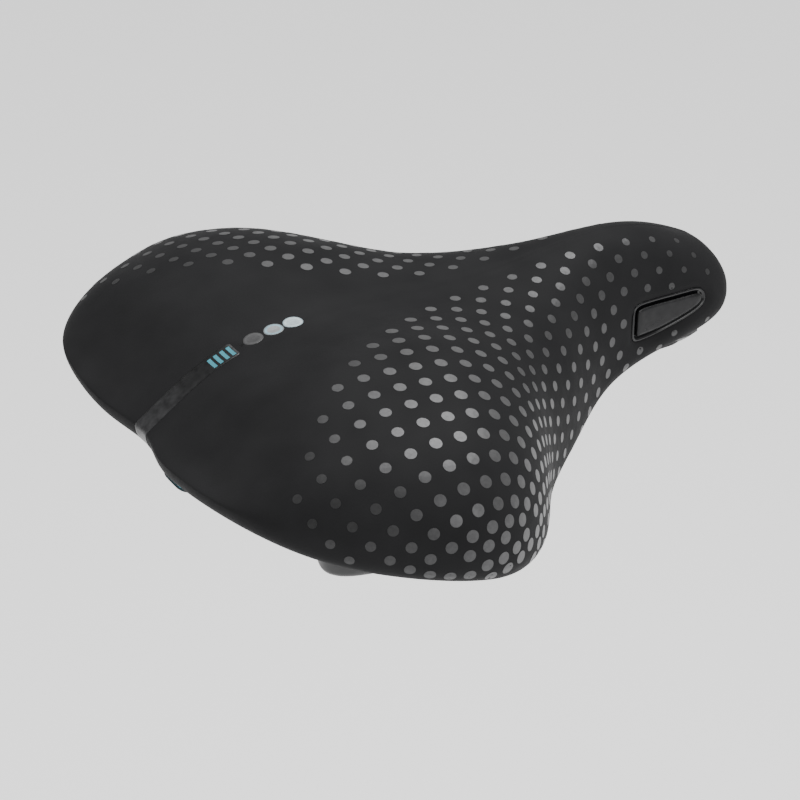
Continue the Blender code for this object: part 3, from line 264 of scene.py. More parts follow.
def skin(name, loops, close_ends=False, weld=2e-5, loop_closes=False):
    """A smooth mesh through equal closed loops, welded, with its faces turned outwards."""
    loops = [np.asarray(loop, float) for loop in loops]
    count = len(loops[0])
    faces = []
    last = len(loops) if loop_closes else len(loops) - 1
    for k in range(last):
        a, b = k * count, (k + 1) % len(loops) * count
        faces += [(a + i, a + (i + 1) % count, b + (i + 1) % count, b + i) for i in range(count)]
    if close_ends:
        faces.append(tuple(range(count))[::-1])
        faces.append(tuple(range((len(loops) - 1) * count, len(loops) * count)))
    mesh = bpy.data.meshes.new(name)
    mesh.from_pydata([tuple(p) for loop in loops for p in loop], [], faces)
    form = bmesh.new()
    form.from_mesh(mesh)
    bmesh.ops.remove_doubles(form, verts=form.verts, dist=weld)
    bmesh.ops.dissolve_degenerate(form, edges=form.edges, dist=weld)
    bmesh.ops.recalc_face_normals(form, faces=form.faces)
    form.to_mesh(mesh)
    form.free()
    mesh.shade_smooth()
    made = bpy.data.objects.new(name, mesh)
    bpy.context.scene.collection.objects.link(made)
    return made


def finish_named(name, colour, roughness, metallic=0.0):
    """A material, its shader, its node tree and its Object coordinates, ready for a pattern."""
    made = bpy.data.materials.new(name)
    made.use_nodes = True
    shader = made.node_tree.nodes["Principled BSDF"]
    shader.inputs["Base Color"].default_value = (*colour, 1.0)
    shader.inputs["Roughness"].default_value = roughness
    shader.inputs["Metallic"].default_value = metallic
    return made, shader, made.node_tree, add_node(made.node_tree, "ShaderNodeTexCoord").outputs["Object"]


def add_node(tree, kind, inputs=None, **settings):
    """One node with its settings, and its inputs set to values or fed from other nodes' outputs."""
    node = tree.nodes.new(kind)
    for key, value in settings.items():
        setattr(node, key, value)
    for socket, value in (inputs or {}).items():
        if isinstance(value, bpy.types.NodeSocket):
            tree.links.new(value, node.inputs[socket])
        else:
            node.inputs[socket].default_value = value
    return node


def grey(value):
    """A grey as a colour's three shares."""
    return value, value, value


def mottled(tree, place, scale, low, high, detail=3.0):
    """A noise pattern spread between two greys or colours, for a base colour or a roughness."""
    noise = add_node(tree, "ShaderNodeTexNoise", {"Scale": scale, "Detail": detail, "Vector": place})
    ramp = add_node(tree, "ShaderNodeValToRGB", {"Fac": noise.outputs["Fac"]})
    for element, position, colour in zip(ramp.color_ramp.elements, mottle_spread, (low, high)):
        element.position = position
        element.color = (*colour, 1.0)
    return ramp.outputs["Color"]


def varied(tree, place, shader, socket, scale, low, high):
    """A mottled pattern given to one of the shader's inputs."""
    tree.links.new(mottled(tree, place, scale, low, high), shader.inputs[socket])


def bumped(tree, height, strength, distance, shader, under=None):
    """A bump from a height, laid over an earlier one where there is one."""
    bump = add_node(tree, "ShaderNodeBump", {"Strength": strength, "Distance": distance, "Height": height})
    if under is not None:
        tree.links.new(under, bump.inputs["Normal"])
    tree.links.new(bump.outputs["Normal"], shader.inputs["Normal"])
    return bump.outputs["Normal"]


def speckled(tree, place, scale, strength, distance, shader, under=None, detail=2.0):
    """A fine noise bump, such as a moulding's or a coat's grain."""
    noise = add_node(tree, "ShaderNodeTexNoise", {"Scale": scale, "Detail": detail, "Vector": place})
    bumped(tree, noise.outputs["Fac"], strength, distance, shader, under)


outer = np.stack([mirrored(ring) for ring in hide_rings()])


def surface_of(grid):
    """A searchable surface through a grid of closed loops, and the sign that turns its normals outwards."""
    count = grid.shape[1]
    faces = []
    for k in range(len(grid) - 1):
        a, b = k * count, (k + 1) * count
        faces += [(a + i, a + (i + 1) % count, b + (i + 1) % count, b + i) for i in range(count)]
    tree = BVHTree.FromPolygons([tuple(p) for p in grid.reshape(-1, 3)], faces)
    hit = tree.ray_cast(Vector((20.0 * MM, 0.0, 1.0)), Vector((0.0, 0.0, -1.0)))
    return tree, math.copysign(1.0, hit[1].z)


seat_face, seat_face_sign = surface_of(outer[:cover_rings + flank_rings + 1])


def on_seat(point):
    """The nearest place on the seat's outer face and the outward normal there."""
    place, normal, _, _ = seat_face.find_nearest(Vector(point))
    return place, normal * seat_face_sign


def dropped(x, y):
    """The seat's outer face straight below a plan point."""
    return seat_face.ray_cast(Vector((x, y, 1.0)), Vector((0.0, 0.0, -1.0)))[0]


badge_half, badge_tall = 16.5 * MM, 6.75 * MM
badge_y, badge_z = rear_y + seat_length - 33.0 * MM, 43.0 * MM
badge_shape = [(-1.00, -0.80), (-0.99, 0.10), (-0.90, 0.86), (-0.45, 1.00), (0.30, 1.03), (0.80, 1.00),
               (0.98, 0.62), (0.94, 0.10), (0.62, -0.30), (0.10, -0.70), (-0.40, -0.98), (-0.82, -1.04)]
recess_depth, recess_reach, bed_depth, bed_wall = 1.3 * MM, 3.2 * MM, 1.6 * MM, 0.6 * MM
recess_out, recess_back, recess_down = 8.0 * MM, 28.0 * MM, 14.0 * MM
badge_points = 96


def badge_outline(grow):
    """Side view (y, z) of the badge, grown outwards by `grow`."""
    ring = np.array(badge_shape + [badge_shape[0]]) * np.array([badge_half, badge_tall])
    knots = np.arange(len(ring), dtype=float)
    at = np.linspace(0.0, len(ring) - 1.0, badge_points + 1)[:-1]
    y, z = spline(knots, ring[:, 0], at, "closed"), spline(knots, ring[:, 1], at, "closed")
    ny, nz = np.roll(z, -1) - np.roll(z, 1), np.roll(y, 1) - np.roll(y, -1)
    size = np.hypot(ny, nz)
    turn = np.sign(np.sum(ny * y + nz * z))
    return np.stack([badge_y + y + turn * grow * ny / size, badge_z + z + turn * grow * nz / size], 1)


def badge_distance(points):
    """Distance of side-view points from the badge's outline, negative inside it."""
    ring = badge_outline(0.0)
    after = np.roll(ring, -1, 0)
    leg = after - ring
    gap = points[:, None, :] - ring[None]
    share = np.clip(np.sum(gap * leg, 2) / np.sum(leg * leg, 1), 0.0, 1.0)
    near = np.sqrt(np.min(np.sum((gap - share[..., None] * leg) ** 2, 2), 1))
    above = (ring[None, :, 1] > points[:, None, 1]) != (after[None, :, 1] > points[:, None, 1])
    rise = np.where(np.abs(leg[:, 1]) < 1e-12, 1e-12, leg[:, 1])
    cross = ring[None, :, 0] + (points[:, None, 1] - ring[None, :, 1]) * leg[:, 0] / rise
    inside = np.sum(above & (points[:, None, 0] < cross), 1) % 2 == 1
    return np.where(inside, -near, near)


flat = outer.reshape(-1, 3)
side_on = np.abs(flat[:, 0]) > recess_out
side_on &= (flat[:, 1] > badge_y - recess_back) & (flat[:, 2] > badge_z - recess_down)
inward = (outer - sunk(outer, 1.0)).reshape(-1, 3)
distance = badge_distance(flat[side_on][:, 1:])
ease_and_painted_sheen = np.clip(distance / recess_reach, 0.0, 1.0)
depth = recess_depth * (1.0 - ease_and_painted_sheen * ease_and_painted_sheen * (3.0 - 2.0 * ease_and_painted_sheen))
depth += bed_depth * np.clip(-distance / bed_wall, 0.0, 1.0)
pressed = flat.copy()
pressed[side_on] -= inward[side_on] * depth[:, None]
outer = pressed.reshape(outer.shape)
inner = sunk(outer, hide_thickness)
cover = skin("cover_hide", list(outer) + list(inner[::-1]), loop_closes=True)

hide, shader, tree, place = finish_named("soft_touch_hide", (0.011, 0.011, 0.012), 0.5)
shader.inputs["Specular IOR Level"].default_value = 0.03
pebble = add_node(tree, "ShaderNodeTexVoronoi", {"Scale": 1500.0, "Vector": place}, feature="F1")
under = bumped(tree, pebble.outputs["Distance"], 0.22, 0.12 * MM, shader)
speckled(tree, place, 3200.0, 0.15, 0.06 * MM, shader, under)
varied(tree, place, shader, "Base Color", 60.0, (0.0165, 0.0165, 0.0172), (0.0205, 0.0205, 0.0213))
varied(tree, place, shader, "Roughness", 240.0, grey(0.52), grey(0.62))
cover.data.materials.append(hide)
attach(cover, "seat")
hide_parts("cover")

# ---- Padding --------------------------------------------------------------------------------------
# Moulded polyurethane foam that fills the hide down to the shell, with a gel pad let into each side under
# the seat bones. Both are bonded in and shut away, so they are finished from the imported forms.


def bonded_copy(name, node, finish):
    """A smooth welded copy of a packed soft solid."""
    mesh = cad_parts[node].data.copy()
    form = bmesh.new()
    form.from_mesh(mesh)
    bmesh.ops.remove_doubles(form, verts=form.verts, dist=1e-5)
    form.to_mesh(mesh)
    form.free()
    mesh.name = name
    mesh.materials.clear()
    mesh.materials.append(finish)
    mesh.shade_smooth()
    made = bpy.data.objects.new(name, mesh)
    bpy.context.scene.collection.objects.link(made)
    return made


foam_finish, shader, tree, place = finish_named("open_cell_foam", (0.16, 0.16, 0.15), 0.95)
cells = add_node(tree, "ShaderNodeTexVoronoi", {"Scale": 900.0, "Vector": place})
bumped(tree, cells.outputs["Distance"], 0.6, 0.4 * MM, shader)
varied(tree, place, shader, "Base Color", 120.0, (0.13, 0.13, 0.12), (0.19, 0.19, 0.175))
gel_finish, shader, tree, place = finish_named("clear_blue_gel", (0.10, 0.32, 0.42), 0.25)
varied(tree, place, shader, "Base Color", 90.0, (0.08, 0.28, 0.38), (0.12, 0.36, 0.46))
for name, node, paint, slot in (("foam_pad", "foam_padding", foam_finish, "foam"),
                                ("gel_cushion_left", "gel_pad_left", gel_finish, "gel"),
                                ("gel_cushion_right", "gel_pad_right", gel_finish, "gel")):
    pad = bonded_copy(name, node, paint)
    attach(pad, "seat")
    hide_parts(node)

# ---- Printed dots ---------------------------------------------------------------------------------
# Rows of silver ink dots, screen printed on the hide before it is moulded, so that they follow the seat.
# They start along a line beside the middle channel and run out over the flanks, each row half a step on.
dot_border_y = [-98.0, -94.0, -71.0, -48.0, -24.5, -2.0, 22.0, 45.4, 70.0, 104.0, 110.0]
dot_border_x = [83.5, 80.0, 59.0, 41.0, 26.0, 14.3, 9.6, 8.5, 8.7, 9.5, 9.7]
dot_size_y = [-110.0, -90.0, -70.0, -50.0, -30.0, -10.0, 10.0, 30.0, 50.0, 70.0, 90.0, 105.0]
dot_size = [2.9, 3.1, 3.6, 4.1, 4.35, 4.1, 3.7, 3.5, 3.8, 3.7, 2.9, 2.4]
dot_step_rear, dot_step_nose = 14.9 * MM, 11.8 * MM
dot_step_rear_y, dot_step_nose_y = -94.0 * MM, 104.0 * MM
dot_row_gap, dot_rows, dot_gap, dot_sides = 6.0 * MM, 24, 0.7 * MM, 20
dot_phase_y, dot_last_y, dot_least_x = 45.4 * MM, 118.0 * MM, 4.0 * MM
border_rear, border_nose, border_samples = -97.0, 109.0, 1400
dot_lift, dot_rise = 0.01 * MM, 0.05 * MM
hem_margin, badge_margin, badge_near_y = 3.4 * MM, 1.2 * MM, 60.0 * MM


def node_group(name, sizes):
    """A geometry tree with named inputs, its input and output nodes ready."""
    tree = bpy.data.node_groups.new(name, "GeometryNodeTree")
    tree.interface.new_socket("Geometry", in_out="INPUT", socket_type="NodeSocketGeometry")
    for label, kind in sizes:
        tree.interface.new_socket(label, in_out="INPUT", socket_type="NodeSocket" + kind)
    tree.interface.new_socket("Geometry", in_out="OUTPUT", socket_type="NodeSocketGeometry")
    return tree, tree.nodes.new("NodeGroupInput"), tree.nodes.new("NodeGroupOutput")


def grown(name, seed, tree, values):
    """The tree's result on a seed mesh, as a plain object of its own."""
    holder = bpy.data.objects.new(name, seed)
    bpy.context.scene.collection.objects.link(holder)
    modifier = holder.modifiers.new("grow", "NODES")
    modifier.node_group = tree
    for item in tree.interface.items_tree:
        if item.in_out == "INPUT" and item.name in values:
            modifier[item.identifier] = values[item.name]
    bpy.context.view_layer.update()
    mesh = bpy.data.meshes.new_from_object(holder.evaluated_get(bpy.context.evaluated_depsgraph_get()))
    bpy.data.objects.remove(holder)
    made = bpy.data.objects.new(name, mesh)
    bpy.context.scene.collection.objects.link(made)
    return made


def border_row():
    """The first row of dots, stepped along its border line over the seat."""
    y = np.linspace(border_rear, border_nose, border_samples)
    x = spline(dot_border_y, dot_border_x, y, "free")
    line = np.array([dropped(a * MM, b * MM) for a, b in zip(x, y)])
    run = np.concatenate([[0.0], np.cumsum(np.linalg.norm(np.diff(line, axis=0), axis=1))])
    row = []
    start = float(np.interp(dot_phase_y, line[:, 1], run))
    for way in (1.0, -1.0):
        at = start if way > 0.0 else start - dot_pitch(dot_phase_y)
        while 0.0 <= at <= run[-1]:
            p = Vector([np.interp(at, run, line[:, axis]) for axis in range(3)])
            row.append(p)
            at += way * dot_pitch(p.y)
    return sorted(row, key=lambda p: p.y)


def dot_pitch(y):
    """The step from one dot of the border row to the next, at a place along the seat."""
    return float(np.interp(y, [dot_step_rear_y, dot_step_nose_y], [dot_step_rear, dot_step_nose]))


def next_row(row):
    """The row outside this one: the midpoints of its dots, walked outwards over the seat."""
    middles = [(a + b) / 2.0 for a, b in zip(row, row[1:])]
    tangents = [(b - a).normalized() for a, b in zip(row, row[1:])]
    middles = [row[0] - (row[1] - row[0]) / 2.0] + middles + [row[-1] + (row[-1] - row[-2]) / 2.0]
    tangents = [tangents[0]] + tangents + [tangents[-1]]
    walked = []
    for p, along in zip(middles, tangents):
        place, normal = on_seat(p)
        for _ in range(4):
            out = along.cross(normal).normalized()
            place, normal = on_seat(place + out * dot_row_gap / 4.0)
        walked.append(place)
    return walked


hem_ring = outer[cover_rings + flank_rings]
rows = [border_row()]
for _ in range(dot_rows - 1):
    rows.append(next_row(rows[-1]))
dots = []
for row in rows:
    for p in row:
        low = hem_ring[np.argmin(np.hypot(hem_ring[:, 0] - p.x, hem_ring[:, 1] - p.y)), 2]
        gap = min([(p - q).length - r for q, r in dots], default=1.0)
        radius = float(np.interp(p.y / MM, dot_size_y, dot_size)) * MM / 2.0
        off_badge = badge_distance(np.array([[p.y, p.z]]))[0] if p.y > badge_near_y else 1.0
        if p.x > dot_least_x and p.y < dot_last_y and p.z > low + hem_margin:
            if gap > radius + dot_gap and off_badge > radius + badge_margin:
                dots.append((p, radius))


def stepped(tree, value, stops, interpolation="CONSTANT"):
    """A colour ramp with given stops over a value."""
    ramp = add_node(tree, "ShaderNodeValToRGB", {"Fac": value})
    ramp.color_ramp.interpolation = interpolation
    while len(ramp.color_ramp.elements) < len(stops):
        ramp.color_ramp.elements.new(0.5)
    for element, (position, colour) in zip(ramp.color_ramp.elements, stops):
        element.position = position
        element.color = (*colour, 1.0)
    return ramp.outputs["Color"]


def stretched(tree, value, low, high):
    """A value mapped from low..high to 0..1."""
    span = {"From Min": low, "From Max": high, "Value": value}
    return add_node(tree, "ShaderNodeMapRange", span).outputs["Result"]


def mixed(tree, share, low, high, kind="MIX"):
    """Two colours mixed or multiplied."""
    colours = {"Fac": share, "Color1": low, "Color2": high}
    return add_node(tree, "ShaderNodeMixRGB", colours, blend_type=kind).outputs["Color"]


ink, shader, tree, place = finish_named("silver_ink", (0.24, 0.24, 0.25), 0.42, 0.75)
parts = add_node(tree, "ShaderNodeSeparateXYZ", {"Vector": place})
# The ink's base colour is painted brighter round the waist and darker towards the rear and the nose: a
# painted highlight for the lamps' sheen on the silver ink.
ease_and_painted_sheen = stepped(tree, stretched(tree, parts.outputs["Y"], rear_y, rear_y + seat_length),
               [(0.0, (0.045, 0.045, 0.046)), (0.14, (0.052, 0.052, 0.053)), (0.24, (0.075, 0.075, 0.077)),
                (0.33, (0.13, 0.13, 0.132)), (0.44, (0.17, 0.17, 0.173)), (0.58, (0.11, 0.11, 0.112)),
                (0.80, (0.085, 0.085, 0.087)), (1.0, (0.06, 0.06, 0.061))], "LINEAR")
fleck = mottled(tree, place, 900.0, grey(0.8), grey(1.0))
tree.links.new(mixed(tree, 1.0, ease_and_painted_sheen, fleck, "MULTIPLY"), shader.inputs["Base Color"])
speckled(tree, place, 4000.0, 0.12, 0.03 * MM, shader)

tree, source, sink = node_group("print_dots", [("Hide", "Object"), ("Lift", "Float"), ("Rise", "Float"),
                                               ("Ink", "Material")])
disc = add_node(tree, "GeometryNodeMeshCylinder", {"Vertices": dot_sides, "Radius": 1.0, "Depth": 1.0},
                fill_type="TRIANGLE_FAN")
place = add_node(tree, "GeometryNodeInputPosition").outputs["Position"]
height = add_node(tree, "ShaderNodeSeparateXYZ", {"Vector": place}).outputs["Z"]
upper = add_node(tree, "ShaderNodeMath", {0: height, 1: 0.0}, operation="GREATER_THAN").outputs["Value"]
marked = add_node(tree, "GeometryNodeStoreNamedAttribute",
                  {"Geometry": disc.outputs["Mesh"], "Name": "upper_face", "Value": upper})
facing = add_node(tree, "GeometryNodeInputNamedAttribute", {"Name": "facing"}, data_type="FLOAT_VECTOR")
turn = add_node(tree, "FunctionNodeAlignEulerToVector", {"Vector": facing.outputs["Attribute"]}, axis="Z")
spread = add_node(tree, "GeometryNodeInputNamedAttribute", {"Name": "dot_radius"}).outputs["Attribute"]
scale = add_node(tree, "ShaderNodeCombineXYZ", {"X": spread, "Y": spread, "Z": 1e-5})
copies = add_node(tree, "GeometryNodeInstanceOnPoints",
                  {"Points": source.outputs["Geometry"], "Instance": marked.outputs["Geometry"],
                   "Rotation": turn.outputs["Rotation"], "Scale": scale.outputs["Vector"]})
real = add_node(tree, "GeometryNodeRealizeInstances", {"Geometry": copies.outputs["Instances"]})
skin_under = add_node(tree, "GeometryNodeObjectInfo", {"Object": source.outputs["Hide"]}).outputs["Geometry"]
nearest = add_node(tree, "GeometryNodeProximity", {0: skin_under}, target_element="FACES")
normal = add_node(tree, "GeometryNodeInputNormal").outputs["Normal"]
sample = add_node(tree, "GeometryNodeSampleNearestSurface", {"Mesh": skin_under, "Value": normal},
                  data_type="FLOAT_VECTOR")
is_upper = add_node(tree, "GeometryNodeInputNamedAttribute", {"Name": "upper_face"}).outputs["Attribute"]
lifted = add_node(tree, "ShaderNodeMath", {0: is_upper, 1: source.outputs["Rise"], 2: source.outputs["Lift"]},
                  operation="MULTIPLY_ADD")
off = add_node(tree, "ShaderNodeVectorMath", {0: sample.outputs["Value"], "Scale": lifted.outputs["Value"]},
               operation="SCALE")
spot = add_node(tree, "ShaderNodeVectorMath", {0: nearest.outputs["Position"], 1: off.outputs["Vector"]},
                operation="ADD")
settled = add_node(tree, "GeometryNodeSetPosition",
                   {"Geometry": real.outputs["Geometry"], "Position": spot.outputs["Vector"]})
painted = add_node(tree, "GeometryNodeSetMaterial",
                   {"Geometry": settled.outputs["Geometry"], "Material": source.outputs["Ink"]})
tree.links.new(painted.outputs["Geometry"], sink.inputs["Geometry"])

both = [(Vector((p.x * side, p.y, p.z)), r) for side in (1.0, -1.0) for p, r in dots]
seed = bpy.data.meshes.new("dot_places")
seed.from_pydata([tuple(p) for p, _ in both], [], [])
seed.attributes.new("dot_radius", "FLOAT", "POINT").data.foreach_set("value", [r for _, r in both])
normals = np.array([tuple(on_seat(p)[1]) for p, _ in both])
seed.attributes.new("facing", "FLOAT_VECTOR", "POINT").data.foreach_set("vector", normals.ravel())
printed = grown("printed_dots", seed, tree, {"Hide": cover, "Lift": dot_lift, "Rise": dot_rise, "Ink": ink})
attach(printed, "seat")

# ---- Badges ---------------------------------------------------------------------------------------
# A gloss black plastic tray sunk in the hide on each side of the nose, with a plain pressed plate glued
# inside it. The hide dips to meet the tray, and a dark groove runs all round the plate.


def badge_loop(side, grow, depth, share=1.0):
    """The badge's outline on the seat's flank, grown and then sunk by depth."""
    loop = []
    for y, z in badge_outline(grow):
        y, z = badge_y + (y - badge_y) * share, badge_z + (z - badge_z) * share
        hit, normal, _, _ = seat_face.ray_cast(Vector((1.0, y, z)), Vector((-1.0, 0.0, 0.0)))
        p = hit - normal * seat_face_sign * depth
        loop.append((p.x * side, p.y, p.z))
    return loop


gloss, shader, tree, place = finish_named("gloss_black_plastic", (0.006, 0.006, 0.007), 0.16)
varied(tree, place, shader, "Roughness", 300.0, grey(0.13), grey(0.22))
plate_finish, shader, tree, place = finish_named("smoked_metal_plate", (0.03, 0.03, 0.032), 0.34, 0.5)
varied(tree, place, shader, "Base Color", 400.0, (0.014, 0.014, 0.015), (0.022, 0.022, 0.023))
speckled(tree, place, 2600.0, 0.1, 0.03 * MM, shader)
tray_steps = [(0.7, 2.6), (0.7, 1.6), (0.5, 0.95), (0.1, 0.8), (-0.3, 0.95), (-0.7, 1.3), (-1.0, 2.0),
              (-2.4, 2.0)]
plate_steps = [(-1.75, 1.95), (-1.75, 1.0), (-1.9, 0.72), (-2.2, 0.55)]
plate_shares = [0.85, 0.65, 0.45, 0.25, 0.08]
for word, side in (("left", -1.0), ("right", 1.0)):
    loops = [badge_loop(side, g * MM, d * MM) for g, d in tray_steps]
    tray = skin("badge_bed_" + word, loops, close_ends=True)
    tray.data.materials.append(gloss)
    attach(tray, "seat")
    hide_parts("badge_tray_" + word)
    loops = [badge_loop(side, g * MM, d * MM) for g, d in plate_steps]
    loops += [badge_loop(side, -2.2 * MM, 0.55 * MM, share) for share in plate_shares]
    plate = skin("badge_face_" + word, loops, close_ends=True)
    plate.data.materials.append(plate_finish)
    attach(plate, "seat")
    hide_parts("badge_plate_" + word)

# ---- Centre strip and marks -----------------------------------------------------------------------
# Printed film stuck up the back of the seat: a mottled metallic strip with plain blue bars near its front,
# and three round marks in front of it. All are thin and follow the hide.
strip_half, strip_rear, strip_front = 4.3 * MM, -107.5 * MM, -71.5 * MM
film, film_tuck = 0.12 * MM, 0.05 * MM
bar_half, strip_corner = 2.9 * MM, 0.8 * MM
strip_rows, strip_columns, strip_wrap = 70, 10, 5


def film_point(x, y, lift):
    """A point on or just over the hide, below a plan point."""
    place = dropped(x, y)
    _, normal = on_seat(place)
    return tuple(place + normal * lift)


def film_across(middle, x, lift):
    """A point on or just over the hide, beside a point of its middle line."""
    place, normal = on_seat((x, middle[1], middle[2]))
    return tuple(place + normal * lift)


strip_finish, shader, tree, place = finish_named("metallic_film", (0.2, 0.2, 0.21), 0.36, 0.55)
parts = add_node(tree, "ShaderNodeSeparateXYZ", {"Vector": place})
along = stretched(tree, parts.outputs["Y"], strip_rear, strip_front)
# The tone along the strip is partly its print, darkest behind the lettering in the middle, and partly painted
# sheen, lighter towards the rear and the front end.
print_and_painted_sheen = stepped(tree, along, [(0.0, (0.060, 0.060, 0.062)), (0.3, (0.045, 0.045, 0.047)),
                               (0.42, (0.030, 0.030, 0.031)), (0.70, (0.022, 0.022, 0.023)),
                               (0.9, (0.035, 0.035, 0.036)), (0.96, (0.11, 0.11, 0.112))], "LINEAR")
patches = mottled(tree, place, 420.0, (0.25, 0.25, 0.26), grey(1.0), 4.0)
tone = mixed(tree, 0.85, print_and_painted_sheen, patches, "MULTIPLY")
bar_edges = (0.0, 0.70, 0.735, 0.765, 0.80, 0.83, 0.865, 0.895, 0.93)
bars = stepped(tree, along, [(edge, grey(float(k % 2))) for k, edge in enumerate(bar_edges)])
across = add_node(tree, "ShaderNodeMath", {0: parts.outputs["X"]}, operation="ABSOLUTE")
inside = add_node(tree, "ShaderNodeMath", {0: across.outputs["Value"], 1: bar_half}, operation="LESS_THAN")
bar_mask = mixed(tree, 1.0, bars, inside.outputs["Value"], "MULTIPLY")
tree.links.new(mixed(tree, bar_mask, tone, (0.10, 0.42, 0.52, 1.0)), shader.inputs["Base Color"])

middle_line = outer[:cover_rings + strip_wrap + 1, 0]
middle_line = middle_line[middle_line[:, 1] < strip_front]
run = np.concatenate([[0.0], np.cumsum(np.linalg.norm(np.diff(middle_line, axis=0), axis=1))])
loops = []
for at in np.linspace(run[-1], 0.0, strip_rows + 1):
    middle = [np.interp(at, run, middle_line[:, axis]) for axis in range(3)]
    end = min(at, run[-1] - at)
    narrowing = strip_corner * max(0.0, 1.0 - end / strip_corner) ** 2
    columns = np.linspace(-1.0, 1.0, strip_columns + 1) * (strip_half - narrowing)
    low = [film_across(middle, x, -film_tuck) for x in columns]
    high = [film_across(middle, x, film) for x in columns[::-1]]
    loops.append(low + high)
strip = skin("printed_strip", loops, close_ends=True)
strip.data.materials.append(strip_finish)
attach(strip, "seat")
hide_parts("centre_strip")

mark_radius, mark_steps = 3.5 * MM, 40
mark_rings = ((0.05, -film_tuck), (1.0, -film_tuck), (1.0, film * 0.6), (0.96, film), (0.7, film),
              (0.4, film), (0.05, film))
marks = (("rear", -66.0 * MM, (0.075, 0.075, 0.077), (0.10, 0.10, 0.102), (0.075, 0.075, 0.077)),
         ("middle", -58.2 * MM, (0.36, 0.38, 0.39), (0.34, 0.52, 0.60), (0.24, 0.26, 0.27)),
         ("front", -50.8 * MM, (0.55, 0.66, 0.70), (0.68, 0.80, 0.84), (0.42, 0.52, 0.56)))
for word, mark_y, core, ring, rim in marks:
    paint, shader, tree, place = finish_named("mark_" + word, core, 0.4, 0.3)
    centred = {"Location": (0.0, -mark_y, 0.0), "Scale": (1.0, 1.0, 0.0), "Vector": place}
    away = add_node(tree, "ShaderNodeMapping", centred)
    reach = add_node(tree, "ShaderNodeVectorMath", {0: away.outputs["Vector"]}, operation="LENGTH")
    out = stretched(tree, reach.outputs["Value"], 0.0, mark_radius)
    stops = [(0.0, core), (0.60, core), (0.70, ring), (0.84, ring), (0.92, rim)]
    colour = stepped(tree, out, stops, "LINEAR")
    fleck = mottled(tree, place, 900.0, grey(0.8), grey(1.0))
    tree.links.new(mixed(tree, 1.0, colour, fleck, "MULTIPLY"), shader.inputs["Base Color"])
    turns = np.linspace(0.0, 2.0 * math.pi, mark_steps + 1)[:-1]
    loops = []
    for share, lift in mark_rings:
        r = mark_radius * share
        loops.append([film_point(r * math.cos(a), mark_y + r * math.sin(a), lift) for a in turns])
    mark = skin("round_mark_" + word, loops, close_ends=True)
    mark.data.materials.append(paint)
    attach(mark, "seat")
    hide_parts("centre_disc_" + word)

# ---- Bumpers --------------------------------------------------------------------------------------
# Under each side of the rear, a soft rubber boot hangs from the shell round an elastomer spring, which
# stands in a cup bolted to the rear bridge. The boot's lower edge arches up to let the bridge in.
boot_half, boot_turn = (10.0 * MM, 14.5 * MM), math.radians(-17.0)
boot_wall, boot_foot = 3.2 * MM, 2.7 * MM
boot_arch_half, boot_arch_height, boot_arch_blend = 10.4 * MM, 10.0 * MM, 1.0 * MM
block_gap, block_height = 0.9 * MM, 15.85
block_profile = ((1.5, 0.0), (0.5, 0.25), (0.0, 1.2), (0.6, 3.0), (0.9, 7.8), (0.6, 12.6), (0.0, 14.6),
                 (0.5, 15.6), (1.5, block_height))
loop_points = 96


def rounded_loop(half_x, half_y, z, power, turn, centre):
    """A rounded oblong at one height."""
    loop = []
    for k in range(loop_points):
        a = 2.0 * math.pi * k / loop_points
        c, s = math.cos(a), math.sin(a)
        x = half_x * math.copysign(abs(c) ** (2.0 / power), c)
        y = half_y * math.copysign(abs(s) ** (2.0 / power), s)
        loop.append((centre[0] + x * math.cos(turn) - y * math.sin(turn),
                     centre[1] + x * math.sin(turn) + y * math.cos(turn), z))
    return loop


rubber, shader, tree, place = finish_named("moulded_rubber", (0.022, 0.022, 0.023), 0.42)
varied(tree, place, shader, "Base Color", 110.0, (0.018, 0.018, 0.019), (0.028, 0.028, 0.029))
varied(tree, place, shader, "Roughness", 300.0, grey(0.36), grey(0.48))
speckled(tree, place, 2400.0, 0.12, 0.05 * MM, shader)
spring, shader, tree, place = finish_named("cyan_elastomer", (0.16, 0.66, 0.82), 0.38)
shader.inputs["Subsurface Weight"].default_value = 0.15
shader.inputs["Subsurface Scale"].default_value = 4.0 * MM
# The emission is painted light: a faint cyan glow that lifts the blocks out of the shade under the hem and
# the boot, though the elastomer gives no light.
shader.inputs["Emission Color"].default_value = (0.16, 0.66, 0.82, 1.0)
shader.inputs["Emission Strength"].default_value = 0.4
varied(tree, place, shader, "Base Color", 80.0, (0.14, 0.62, 0.79), (0.19, 0.71, 0.86))

